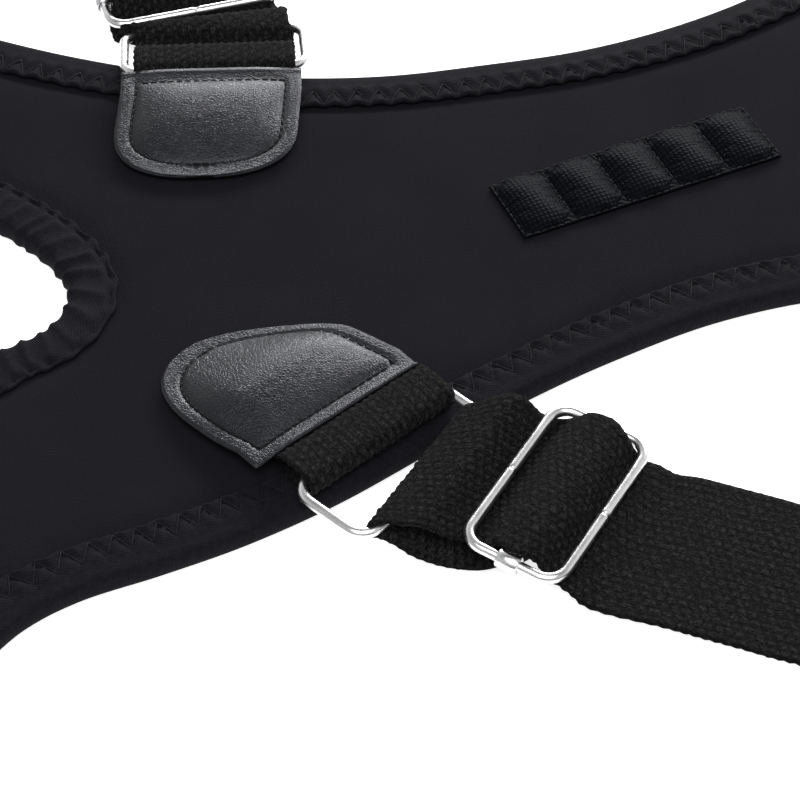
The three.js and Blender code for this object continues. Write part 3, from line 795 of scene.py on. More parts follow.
class BRACE_OT_panel(bpy.types.Operator):
    """Adds the foam back panel with its arms and belt wings."""

    bl_idname = "brace.panel"
    bl_label = "Back panel"

    RIM, RIM_LOW, RIM_HIGH = 1.4, 1.1, 4.1
    OUTLINE_SPACING, RIM_APART = 2.0, 0.3
    SWELL, SINK = (9.0, 14.5), (9.0, 12.0)
    WAVE, WAVE_X, WAVE_Y, WAVE_SHIFT = 0.12, 17.0, 23.0, 0.6
    LOOPS = (5.0, 8.5, 9.8, 11.0, 12.5, 14.5, 17.5, 21.5)
    LOOP_SPACING, LOOP_CLEAR = 3.0, 0.97
    GRID, GRID_ROWS, GRID_CLEAR = 4.5, 0.87, 2.0

    def execute(self, context):
        outline, _ = evenly(np.vstack((outer_path(), neck_path())), self.OUTLINE_SPACING, 2)
        plan, upper, count = self.plan_mesh(outline)
        depth = edge_distance(plan, outline)
        wave = np.sin(plan[:, 0] / self.WAVE_X) * np.sin(plan[:, 1] / self.WAVE_Y + self.WAVE_SHIFT)
        swell = PANEL_TOP - self.RIM_HIGH + self.WAVE * wave
        top = self.RIM_HIGH + swell * ease(depth, *self.SWELL)
        low = self.RIM_LOW * (1 - ease(depth, *self.SINK))
        points = np.vstack((np.column_stack((plan, top)), np.column_stack((plan, low))))
        under = [[corner + len(plan) for corner in face[::-1]] for face in upper]
        pairs = [(k, (k + 1) % count) for k in range(count)]
        rim = [[a, b, b + len(plan), a + len(plan)] for a, b in pairs]
        piece = add_piece(context, "panel", (points, upper + under + rim), "neoprene", "back_panel")
        return {"FINISHED"}

    def plan_mesh(self, outline):
        """Triangles over the panel's plan: finer rows along its edge, a looser grid inside."""
        inward = inward_of(outline)
        rim = outline + inward * self.RIM
        rim = rim[np.linalg.norm(rim - np.roll(rim, 1, 0), axis=1) > self.RIM_APART]
        extra = []
        for by in self.LOOPS:
            loop, _ = evenly(outline + inward * by, self.LOOP_SPACING, 2)
            extra.append(loop[edge_distance(loop, outline) > by * self.LOOP_CLEAR])
        low, high = outline.min(axis=0), outline.max(axis=0)
        columns = np.arange(low[0], high[0], self.GRID)
        rows = np.arange(low[1], high[1], self.GRID * self.GRID_ROWS)
        grid = np.array([(x + j % 2 * self.GRID / 2, y) for j, y in enumerate(rows) for x in columns])
        grid = grid[inside(grid, outline)]
        extra.append(grid[edge_distance(grid, outline) > self.LOOPS[-1] + self.GRID_CLEAR])
        points = np.vstack((rim, *extra))
        edges = [(k, (k + 1) % len(rim)) for k in range(len(rim))]
        made, _, faces, *_ = delaunay_2d_cdt([Vector(p) for p in points], edges, [], 1, 1e-5)
        return np.array([tuple(p) for p in made]), [list(face) for face in faces], len(rim)


class BRACE_OT_bindings(bpy.types.Operator):
    """Adds the folded tapes round the outer edge and round the neck, with their stitches."""

    bl_idname = "brace.bindings"
    bl_label = "Edge bindings"

    LOW, HIGH, WALL = 0.3, 5.35, 0.9
    FULL, BULGE, NOSE_STEPS = 0.7, 0.35, 8
    FOLD_ROUND, LIP_ROUND, LIP_OUT, LIP_DOWN = 1.5, 0.15, 0.25, 0.6
    TOP = (3.6, 4.6, 5.5, 6.4, 7.3, 8.2, 9.0, 9.6)
    UPPER_FROM, LIP_FROM = 3.0, 9.3
    FOLD_WIDTH = 4.0
    SPACING, NECK_SPACING = 0.9, 0.55
    ZIGZAG, BAND_FROM = (5.4, 9.5), 3.2
    PUFF, SUNK, TUCK = 0.6, 0.5, 0.75
    EDGE_UNEVEN = (0.6, 1.25)
    NECK_STITCH, NECK_PITCH, NECK_ENDS = 8.9, 2.6, 4
    NECK_UNEVEN, NECK_PUFFS = 0.22, (0.55, 1.2)
    GROOVE, GROOVE_HALF, LIP_WAVE = 1.2, 0.6, 0.45
    SLANT, SHARP = 0.045, 1.3
    TOP_CALM, NOSE_TO = (7.6, 8.8), 2.6
    THREAD_SUNK = 1.05
    CALM_FROM, CALM_TO = 25, 76.8

    def execute(self, context):
        size = sizes_in_mm(context)
        rng = np.random.default_rng(SEED)
        self.edge(context, size, rng)
        self.neck(context, size, rng)
        return {"FINISHED"}

    def section(self, width):
        """Depth from the edge and height round the folded tape, and which points are outside."""
        half, middle = (self.HIGH - self.LOW) / 2, (self.HIGH + self.LOW) / 2
        nose = []
        for a in np.radians(np.linspace(-90, 90, self.NOSE_STEPS + 1)):
            x, y = math.cos(a) ** self.FULL, math.copysign(abs(math.sin(a)) ** self.FULL, a)
            nose.append((half - (half + self.BULGE) * x, middle + half * y))
        under = [(width, self.LOW + 0.1), (6.0, self.LOW)]
        top = [(depth, self.HIGH) for depth in self.TOP]
        lip = [(width, self.HIGH - self.LIP_ROUND), (width + self.LIP_OUT, self.HIGH - self.LIP_DOWN)]
        inner = [
            (width, self.HIGH - self.WALL),
            (self.WALL + self.FOLD_ROUND, self.HIGH - self.WALL),
            (self.WALL, middle),
            (self.WALL + self.FOLD_ROUND, self.LOW + self.WALL),
            (width, self.LOW + self.WALL),
        ]
        outside = under + nose + top + lip
        return (*np.array(outside + inner).T, np.arange(len(outside + inner)) < len(outside))

    def add_tape(self, context, name, node, path, run, depth, rise, cloth_depth):
        """A tape along a path, from the depth and height of each section's points."""
        plan = path[:, None] + inward_of(path)[:, None] * depth[..., None]
        shape = loft(np.concatenate((plan, rise[..., None]), axis=2))
        cloth = np.stack(np.broadcast_arrays(run[:, None], cloth_depth, 0.0), axis=-1)
        return add_piece(context, name, shape, "binding tape", node, run=cloth)

    def edge(self, context, size, rng):
        path, run = evenly(outer_path(), self.SPACING, 2)
        depth, height, outer = self.section(size.binding_width)
        pitch = size.zigzag_pitch
        count = int(run[-1] / pitch)
        puffs = rng.uniform(*self.EDGE_UNEVEN, count + 3)
        phase = run / pitch
        puff = np.interp(phase, np.arange(count + 3), puffs)[:, None]
        near, far = self.ZIGZAG
        swing = np.abs((phase % 1.0) * 2 - 1)[:, None]
        sunk = np.exp(-((depth - near - (far - near) * swing) ** 2))
        upper = height > self.UPPER_FROM
        band = upper * outer * ease(depth, self.BAND_FROM, near)
        rise = height + band * (self.PUFF * puff * (1 - sunk) - self.SUNK * sunk)
        lip = upper * (depth > self.LIP_FROM) * self.TUCK
        depth = depth - lip * (1 - swing) * puff + 0.25 * lip
        piece = self.add_tape(context, "edge_tape", "edge_binding", path, run, depth, rise, depth)
        knots = np.arange(1, 2 * count)
        at, way = (at_run(knots * pitch / 2, run, rows) for rows in (path, inward_of(path)))
        reach = np.where(knots % 2 == 0, far + 0.3, near - 0.1)[:, None]
        line = np.column_stack((at + way * reach, np.full(len(knots), self.HIGH + 0.02)))
        fine = size.thread_radius * 0.4
        seam = sew(context, "edge_zigzag", "binding_tape", line[:-1], line[1:], fine)

    def neck(self, context, size, rng):
        path, run = evenly(neck_path(), self.NECK_SPACING, 2)
        depth, height, outer = self.section(size.binding_width)
        pitch = size.gather_pitch
        folds = np.arange(int(run[-1] / pitch) + 2)
        uneven = rng.uniform(-self.NECK_UNEVEN, self.NECK_UNEVEN, len(folds))
        phase = np.interp(run, (folds + uneven) * pitch, folds)
        puffs = np.interp(phase, folds, rng.uniform(*self.NECK_PUFFS, len(folds)))
        away = np.linalg.norm(path - NECK_MIDDLE, axis=1)
        strong = (puffs * (1 - 0.75 * ease(away, self.CALM_FROM, self.CALM_TO)))[:, None]
        slant = phase[:, None] + depth * self.SLANT
        fold = (1 - np.abs(np.sin(np.pi * slant))) ** self.SHARP - 0.3
        gathered = size.gather_height * strong * fold
        upper = outer & (height > self.UPPER_FROM)
        pits = 0.55 + 0.45 * np.cos(2 * math.pi * slant)
        groove = self.GROOVE * np.exp(-(((depth - self.NECK_STITCH) / self.GROOVE_HALF) ** 2))
        rise = height + upper * (gathered * (1 - ease(depth, *self.TOP_CALM) * 0.75) - groove * pits)
        wavy = self.LIP_WAVE * strong * np.sin(2 * math.pi * phase)[:, None]
        moved = depth - gathered * outer * (1 - ease(depth, 0.0, self.NOSE_TO)) * 0.8
        moved = moved + upper * (depth > self.LIP_FROM) * wavy
        piece = self.add_tape(context, "neck_tape", "neck_binding", path, run, moved, rise, depth)
        line = path + inward_of(path) * self.NECK_STITCH
        line = np.column_stack((line, np.full(len(line), self.HIGH - self.THREAD_SUNK)))
        ends = stitch_ends(line, run, self.NECK_PITCH, (0, 0.8), self.NECK_ENDS, self.NECK_ENDS)
        seam = sew(context, "neck_seam", "binding_tape", *ends, size.thread_radius * 0.8)


class BRACE_OT_pocket_strip(bpy.types.Operator):
    """Adds the satin strip on the spine, its pockets blown up as cloth between their seams."""

    bl_idname = "brace.pocket_strip"
    bl_label = "Pocket strip"

    BASE, HEM = PANEL_TOP + PIECE_GAP, 0.25
    ALONG, ACROSS = 150, 44
    PER_POCKET = ALONG // STRIP["pockets"]
    ENLARGED = 0.1
    FRAMES = 32
    STITCH = 2.0
    CLOTH = {
        "quality": 6, "mass": 0.2, "tension_stiffness": 18.0, "compression_stiffness": 18.0,
        "shear_stiffness": 8.0, "bending_stiffness": 0.35, "air_damping": 4.0, "use_pressure": True,
        "uniform_pressure_force": 3.2, "shrink_min": -0.12, "shrink_max": -0.12,
    }

    def execute(self, context):
        size = sizes_in_mm(context)
        share, side = np.linspace(0, 1, self.ALONG + 1), np.linspace(0, 1, self.ACROSS + 1)
        p, q = np.meshgrid(share, side, indexing="ij")
        flat = np.stack(((p - 0.5) * size.strip_length, (q - 0.5) * size.strip_width, 0 * p), axis=-1)
        blown = self.sewn(context, flat)
        blown[..., 2] *= size.pocket_puff / blown[..., 2].max()
        way = heading(90 + STRIP["turn"])
        middle = np.array((STRIP["x"], STRIP["y"]))
        plan = middle + blown[..., :1] * way + blown[..., 1:2] * left_of(way)
        top = np.concatenate((plan, blown[..., 2:] + self.BASE + self.HEM), axis=2)
        base = top[:, [0, -1]]
        base[..., 2] = self.BASE
        shape = loft(np.concatenate((base[:, :1], top, base[:, 1:]), axis=1))
        run = np.concatenate((flat[:, :1], flat, flat[:, -1:]), axis=1)
        piece = add_piece(context, "pocket_strip_cloth", shape, "satin", "pocket_strip", run=run)
        starts, ends = self.seam(top, size)
        sew(context, "strip_seam", "satin", starts, ends, size.thread_radius * 0.7)
        return {"FINISHED"}

    def seam(self, top, size):
        """Stitches inside the strip's four edges and along the seams between its pockets."""
        rows = (1, *range(self.PER_POCKET, self.ALONG, self.PER_POCKET), self.ALONG - 1)
        starts, ends = [], []
        for line in (top[:, 1], top[:, -2], *(top[row] for row in rows)):
            even, run = evenly(line + (0.0, 0.0, size.thread_radius * 0.3), 0.4, 3)
            first, last = stitch_ends(even, run, self.STITCH, (0, 0.75), 0.6)
            starts.extend(first)
            ends.extend(last)
        return starts, ends

    def puffed(self, p, q, flat):
        """A quick stand-in for the cloth: plain pillows."""
        inner = np.minimum(p * STRIP["pockets"] - np.floor(p * STRIP["pockets"] - 1e-9), 1)
        rise = np.sin(np.pi * inner) * np.sin(np.pi * q)
        return np.concatenate((flat[..., :2], rise[..., None]), axis=2)

    def sewn(self, context, flat):
        """The strip as slack cloth held at its seams and blown up, worked out at a larger scale."""
        mesh = bpy.data.meshes.new("strip cloth")
        quads = grid_faces(self.ALONG + 1, self.ACROSS + 1, columns_joined=False)
        mesh.from_pydata((flat.reshape(-1, 3) * self.ENLARGED).tolist(), [], quads[:, ::-1].tolist())
        cloth = bpy.data.objects.new("strip cloth", mesh)
        context.collection.objects.link(cloth)
        row, column = np.indices(flat.shape[:2])
        held = (row % self.PER_POCKET == 0) | (column == 0) | (column == self.ACROSS)
        seams = cloth.vertex_groups.new(name="seams")
        seams.add(np.flatnonzero(held).tolist(), 1.0, "REPLACE")
        modifier = cloth.modifiers.new("cloth", "CLOTH")
        modifier.settings.vertex_group_mass = seams.name
        for name, value in self.CLOTH.items():
            setattr(modifier.settings, name, value)
        modifier.settings.effector_weights.gravity = 0.0
        modifier.collision_settings.use_collision = False
        for number in range(1, self.FRAMES + 1):
            context.scene.frame_set(number)
        seen = cloth.evaluated_get(context.evaluated_depsgraph_get())
        blown = np.array([vertex.co for vertex in seen.data.vertices]) / self.ENLARGED
        bpy.data.objects.remove(cloth)
        context.scene.frame_set(1)
        return blown.reshape(flat.shape)


class BRACE_OT_patches(bpy.types.Operator):
    """Adds the leather patches with their stitches."""

    bl_idname = "brace.patches"
    bl_label = "Leather patches"

    ROWS, COLUMNS, TIP = 64, 72, 0.998
    STITCH_INSET = 3.5
    PILLOW, PILLOW_POWER = 2.0, 0.7
    SUNK, SUNK_HALF = 0.4, 0.6
    RIM_DROP, RIM_REACH = 0.35, 0.7
    DROOP_REACH, DROOP_MIX = 11.0, 6.0
    PADDING = 0.8
    FAR_OFF = 9

    def execute(self, context):
        size = sizes_in_mm(context)
        for side in SIDES:
            self.patch(context, size, side)
        return {"FINISHED"}

    def patch(self, context, size, side):
        place = SIDES[side]["patch"]
        rows = np.sin(np.linspace(0, 1, self.ROWS + 1) * math.pi / 2)
        column = np.linspace(-0.5, 0.5, self.COLUMNS + 1)
        depth = np.repeat(rows[:, None] * place["depth"] * self.TIP, len(column), 1)
        half = self.half_width(depth, column[None], place)
        across = half * np.sin(column * math.pi)
        under = self.sheet(across, depth, half, side, size)
        top = under + size.leather_thick + self.dome(across, depth, half, place)
        lower, upper = (self.at(place, across, depth, height) for height in (under, top))
        shape = loft(np.concatenate((lower, upper[:, ::-1]), axis=1))
        piece = add_piece(context, f"leather_{side}", shape, "leather", f"patch_{side}")
        seam = self.seam(context, size, side, place)

    def half_width(self, depth, across, place):
        """Half the width at a depth, on the side that across lies on."""
        left = np.asarray(across) < 0
        straight, power = (np.where(left, *place[name]) for name in ("straight", "power"))
        rounded = np.maximum(0, (depth - straight) / (place["depth"] - straight))
        return place["half_width"] * np.maximum(1 - rounded**power, 0) ** (1 / power)

    def sheet(self, across, depth, half, side, size):
        """Height of the leather's underside, from over the ring tab to the panel."""
        place, droops = SIDES[side]["patch"], SIDES[side]["droop"]
        on_left = ease(-across, -self.DROOP_MIX, self.DROOP_MIX)
        droop = droops["right"] + (droops["left"] - droops["right"]) * on_left
        lift = 1 - droop * (1 - ease(half - np.abs(across), -0.5, self.DROOP_REACH))
        lift = lift * ease(place["depth"] - depth, place["flange"], place["flange"] + place["rise"])
        edge = PATCH["edge_lift"] * ease(-depth, -PATCH["edge_reach"], 0)
        rest = PANEL_TOP + PIECE_GAP + self.PADDING + edge
        over = tab_upper(depth, size) + size.webbing_thick / 2 + PIECE_GAP
        return rest + (over - rest) * lift

    def seam_half(self, depth, across, place):
        """Half the width between the stitches at a depth, 0 outside them."""
        inset = self.STITCH_INSET
        reach = np.clip((depth - inset) / (place["depth"] - 2 * inset), 0, 1)
        return self.half_width(reach * place["depth"], across, place) * (1 - inset / place["half_width"])

    def dome(self, across, depth, half, place):
        """The stitch line sunk, and the leather stuffed like a pillow inside it."""
        inset = self.STITCH_INSET
        reach = (depth - inset) / (place["depth"] - 2 * inset)
        seam = np.maximum(self.seam_half(depth, across, place), 1e-3)
        wide = np.abs(across)
        pillow = np.clip(1 - (across / seam) ** 2, 0, 1) * np.clip(4 * reach * (1 - reach), 0, 1)
        from_sides = np.abs(wide - seam) + self.FAR_OFF * ((reach < 0) | (reach > 1))
        from_front = np.abs(depth - inset) + self.FAR_OFF * (wide > seam)
        gap = np.minimum(from_sides, from_front)
        sunk = self.SUNK * np.exp(-((gap / self.SUNK_HALF) ** 2))
        rim = self.RIM_DROP * (1 - ease(np.minimum(depth, half - wide), 0.0, self.RIM_REACH))
        return self.PILLOW * pillow**self.PILLOW_POWER - sunk - rim

    def at(self, place, across, depth, height):
        way = heading(place["faces"])
        lean = place["lean"] * np.maximum(0, depth - PATCH["lean_from"])
        plan = np.array((place["x"], place["y"])) - depth[..., None] * way
        plan = plan + (across + lean)[..., None] * left_of(way)
        return np.concatenate((plan, height[..., None]), axis=-1)

    def seam(self, context, size, side, place):
        """Stitches round the patch, inside its rim."""
        inset = self.STITCH_INSET
        depth = np.linspace(inset, place["depth"] - inset, 240)
        right = np.column_stack((self.seam_half(depth, 1, place), depth))
        left = np.column_stack((-self.seam_half(depth, -1, place), depth))[::-1]
        pitch = size.stitch_pitch
        line, run = evenly(np.vstack((right, left, right[:1])), pitch / 4, 2)
        both = []
        for ends in stitch_ends(line, run, pitch, (0.1, 0.9)):
            across, down = ends.T
            half = self.half_width(down, across, place)
            height = self.sheet(across, down, half, side, size) + size.leather_thick
            height = height + self.dome(across, down, half, place) + size.thread_radius * 0.5
            both.append(self.at(place, across, down, height))
        return sew(context, f"leather_seam_{side}", "leather", *both, size.thread_radius)


def patch_over(side):
    """How far the patch's straight edge lies out over the tab, from where the tab is seated."""
    patch, tab = SIDES[side]["patch"], SIDES[side]["tab"]
    return float(np.dot((patch["x"] - tab["x"], patch["y"] - tab["y"]), heading(tab["faces"])))


def turn_radius(size):
    return (TURN_GAP + size.webbing_thick) / 2


def tab_upper(depth, size):
    """Height of the ring tab's upper layer at a distance in from the patch's straight edge."""
    low = TAB["bottom"] + size.webbing_thick / 2
    closed = size.webbing_thick + PIECE_GAP
    opened = ease(-depth, TAB["join_to"], TAB["join_from"])
    return low + closed + (turn_radius(size) * 2 - closed) * opened


def bend(s, z, radius, start, end, steps):
    angles = np.radians(np.linspace(start, end, steps + 1))
    return [(s + radius * math.cos(a), z + radius * math.sin(a)) for a in angles]


class Webbing:
    """A woven strip with each cell raised, through stations: middle, way across, width,
    and how far its left edge curls up and its right edge hangs down."""

    PATH_STEPS, SAMPLES = 8, 4
    RIM, SCALLOP = 0.3, 0.2
    UNDERSIDE = 80.0

    def __init__(self, stations, size, rng):
        rows = smooth_path(np.array(stations, float), self.PATH_STEPS, chord=3)
        cells = round(size.webbing_width / size.weave_across)
        rows, self.run = evenly(rows, size.weave_along / self.SAMPLES, 3)
        self.middle, self.across = rows[:, :3], unit(rows[:, 3:6])
        self.normal = unit(np.cross(unit(np.gradient(self.middle, axis=0)), self.across))
        width, curl, droop = rows[:, 6:9].T[..., None]
        place = np.linspace(-0.5, 0.5, 2 * cells + 1)
        relief = size.weave_relief
        core = size.webbing_thick / 2 - relief * 0.6
        tops = [self.raised(cells, size, rng, shift) for shift in (0.0, 0.5)]
        uneven = rng.uniform(0.3, 1.0, len(self.run))
        scallop = uneven * np.cos(2 * math.pi * self.run / size.weave_along)
        rim = width / 2 + self.RIM + self.SCALLOP * scallop[:, None]
        flat = place * width
        bent = curl * (place + 0.5) ** 2 - droop * (0.5 - place) ** 4
        upper = self.face(flat, bent + core + relief * tops[0])
        lower = self.face(flat, bent - core - relief * tops[1])[:, -2::-2]
        near, far = self.face(-rim, -droop), self.face(rim, curl)
        self.sections = np.concatenate((near, upper, far, lower), axis=1)
        edge = np.full((len(self.run), 1), 0.5)
        # Each point's weave height goes with its run, for the finish's painted shade in the gaps and
        # painted light on the raised cells.
        tall = np.concatenate((edge, tops[0], edge, tops[1][:, -2::-2]), axis=1)
        side = np.concatenate((-rim, flat, rim, flat[:, -2::-2] + self.UNDERSIDE), axis=1)
        self.cloth = np.stack(np.broadcast_arrays(self.run[:, None], side, tall), axis=-1)

    def raised(self, cells, size, rng, shift):
        """Height of the weave, 0 to 1: bricks in rows, each row half a brick on from the last."""
        along = self.run / size.weave_along
        bricks = int(along[-1]) + 4
        uneven = rng.uniform(0.5, 1.0, (bricks, cells))
        columns = np.arange(cells)
        phase = along[:, None] + (columns % 2) * 0.5 + shift
        tall = np.cos(math.pi * (phase % 1.0 - 0.5)) ** 0.7
        tall = tall * uneven[phase.astype(int), columns]
        seams = 0.5 * (np.pad(tall, ((0, 0), (1, 0))) + np.pad(tall, ((0, 0), (0, 1))))
        both = np.empty((len(along), 2 * cells + 1))
        both[:, 1::2] = tall
        both[:, 0::2] = 0.1 * seams
        return both

    def face(self, place, height):
        """Points so far across the strip and so far off its middle layer."""
        off = self.across[:, None] * place[..., None] + self.normal[:, None] * height[..., None]
        return self.middle[:, None] + off

    def add(self, context, name, node):
        return add_piece(context, name, loft(self.sections), "webbing", node, run=self.cloth)


class BRACE_OT_ring_tabs(bpy.types.Operator):
    """Adds the folded webbing tabs that hold the rings."""

    bl_idname = "brace.ring_tabs"
    bl_label = "Ring tabs"

    TUCK, TUCK_REACH = 6.0, 4.0
    JOIN_STOPS = (TAB["join_from"], 1.4, 0.6, -0.4, TAB["join_to"], -TAB["tail"])

    def execute(self, context):
        size = sizes_in_mm(context)
        rng = np.random.default_rng(SEED + 1)
        for side in SIDES:
            web = Webbing(self.stations(side, size), size, rng)
            piece = web.add(context, f"tab_{side}", f"ring_tab_{side}")
        return {"FINISHED"}

    def stations(self, side, size):
        tab, over = SIDES[side]["tab"], patch_over(side)
        way = heading(tab["faces"])
        radius = turn_radius(size)
        low = TAB["bottom"] + size.webbing_thick / 2
        turn_at = tab["reach"] - size.webbing_thick / 2 - radius
        profile = [
            (-TAB["tail"], low),
            *bend(turn_at, low + radius, radius, -90, 90, 6),
            *[(s + over, tab_upper(-s, size)) for s in self.JOIN_STOPS],
        ]
        stations = []
        for s, z in reversed(profile):
            width = tab["width"] - self.TUCK * float(ease(over - s, 0.0, self.TUCK_REACH))
            middle = step((tab["x"], tab["y"]), way, s, tab["slide"] + tab["shift"])
            stations.append((*middle, z, *left_of(way), 0.0, width, 0.0, 0.0))
        return stations


def ring_place(side):
    """Where the ring's bar in the strap lies, the ring's middle and its pitch."""
    tab, ring = SIDES[side]["tab"], SIDES[side]["ring"]
    way = heading(ring["heading"])
    seat = (tab["x"], tab["y"])
    tab_bar = step(seat, heading(tab["faces"]), ring["inset"], tab["slide"] + ring["slide"])
    drop = ring["strap_bar"] - ring["tab_bar"]
    reach = math.sqrt(RING_DEPTH**2 - drop**2)
    middle = (*step(tab_bar, way, reach / 2), (ring["tab_bar"] + ring["strap_bar"]) / 2)
    return step(tab_bar, way, reach), middle, math.asin(drop / RING_DEPTH)


WIRE_SIDES = 20
WIRE_STEP = 0.25
BEND_STEPS = 10


def wire_path(length_mm, depth_mm):
    """A rectangle with round corners in its own plane, as one closed line."""
    line = rounded_box(depth_mm / 2, length_mm / 2, WIRE_BEND, BEND_STEPS)
    even, _ = evenly(np.vstack((line, line[:1])), WIRE_STEP, 2)
    return np.column_stack((even[:-1], np.zeros(len(even) - 1)))


def laid(shape, middle, degrees, pitch):
    """A flat piece, pitched about its length, turned to a heading and moved."""
    points, faces = shape
    x, y, z = points.T
    along = x * math.cos(pitch) - z * math.sin(pitch)
    rise = x * math.sin(pitch) + z * math.cos(pitch)
    c, s = heading(degrees)
    turned = np.column_stack((along * c - y * s, along * s + y * c, rise))
    return turned + np.array(middle), faces


class BRACE_OT_rings(bpy.types.Operator):
    """Adds the bent wire rings."""

    bl_idname = "brace.rings"
    bl_label = "Wire rings"

    def execute(self, context):
        size = sizes_in_mm(context)
        for side in SIDES:
            ring = SIDES[side]["ring"]
            _, middle, pitch = ring_place(side)
            path = wire_path(ring["length"], RING_DEPTH)
            shape = tube(path, size.wire_radius, WIRE_SIDES, joined=True)
            shape = laid(shape, middle, ring["heading"], pitch)
            add_piece(context, f"wire_ring_{side}", shape, "nickel", f"ring_{side}")
        return {"FINISHED"}


class BRACE_OT_sliders(bpy.types.Operator):
    """Adds the slide buckles: a welded wire frame and a bar with a clip round each short side."""

    bl_idname = "brace.sliders"
    bl_label = "Slide buckles"

    CLIP = {"length": 4.6, "wall": 0.6, "gap": 0.2, "round": 0.18}
    WELD = {"along": -0.3, "rise": 0.12, "spread": 0.9, "groove": 0.34, "narrow": 0.3, "joint": 0.22}
    CLIP_STEPS = 32
    ON_BAR = 0.1

    def execute(self, context):
        size = sizes_in_mm(context)
        shapes = {"frame": self.wire(size), "bar": self.bar(size)}
        for side in SIDES:
            slider = SIDES[side]["slider"]
            middle = (slider["x"], slider["y"], (slider["near"] + slider["far"]) / 2)
            pitch = math.asin((slider["far"] - slider["near"]) / SLIDER["depth"])
            for name, shape in shapes.items():
                shape = laid(shape, middle, slider["heading"], pitch)
                add_piece(context, f"buckle_{name}_{side}", shape, "nickel", f"slider_{name}_{side}")
        return {"FINISHED"}

    def wire(self, size):
        """The frame, swollen and grooved at its weld and nicked at the joint of its near bar."""
        path = wire_path(SLIDER["length"], SLIDER["depth"])
        weld, edge = self.WELD, SLIDER["depth"] / 2 - self.ON_BAR
        away = path[:, 1] - weld["along"]
        swell = weld["rise"] * np.exp(-((away / weld["spread"]) ** 2))
        groove = weld["groove"] * np.exp(-((away / weld["narrow"]) ** 2))
        joint = weld["joint"] * np.exp(-((path[:, 1] / weld["narrow"]) ** 2))
        radius = size.wire_radius + (swell - groove) * (path[:, 0] > edge)
        return tube(path, radius - joint * (path[:, 0] < -edge), WIRE_SIDES, joined=True)

    def bar(self, size):
        half = SLIDER["length"] / 2 - size.wire_radius - SLIDER["bar_play"]
        rod = tube([(0, y, 0) for y in np.linspace(-half, half, 9)], SLIDER["bar_radius"], WIRE_SIDES)
        return joined_meshes([rod, self.clip(size, 1), self.clip(size, -1)])

    def clip(self, size, sign):
        """A short sleeve with rounded rims round one short side of the frame."""
        inner = size.wire_radius + self.CLIP["gap"]
        outer = inner + self.CLIP["wall"]
        half, soft = self.CLIP["length"] / 2, self.CLIP["round"]
        rim = [
            (inner, -half), (outer - soft, -half), (outer, -half + soft), (outer, 0.0),
            (outer, half - soft), (outer - soft, half), (inner, half), (inner, 0.0),
        ]
        angles = np.arange(self.CLIP_STEPS) * 2 * math.pi / self.CLIP_STEPS
        sections = np.array([[(x, r * math.cos(a), r * math.sin(a)) for r, x in rim] for a in angles])
        sections[..., 1] += sign * SLIDER["length"] / 2
        return loft(sections, joined=True)


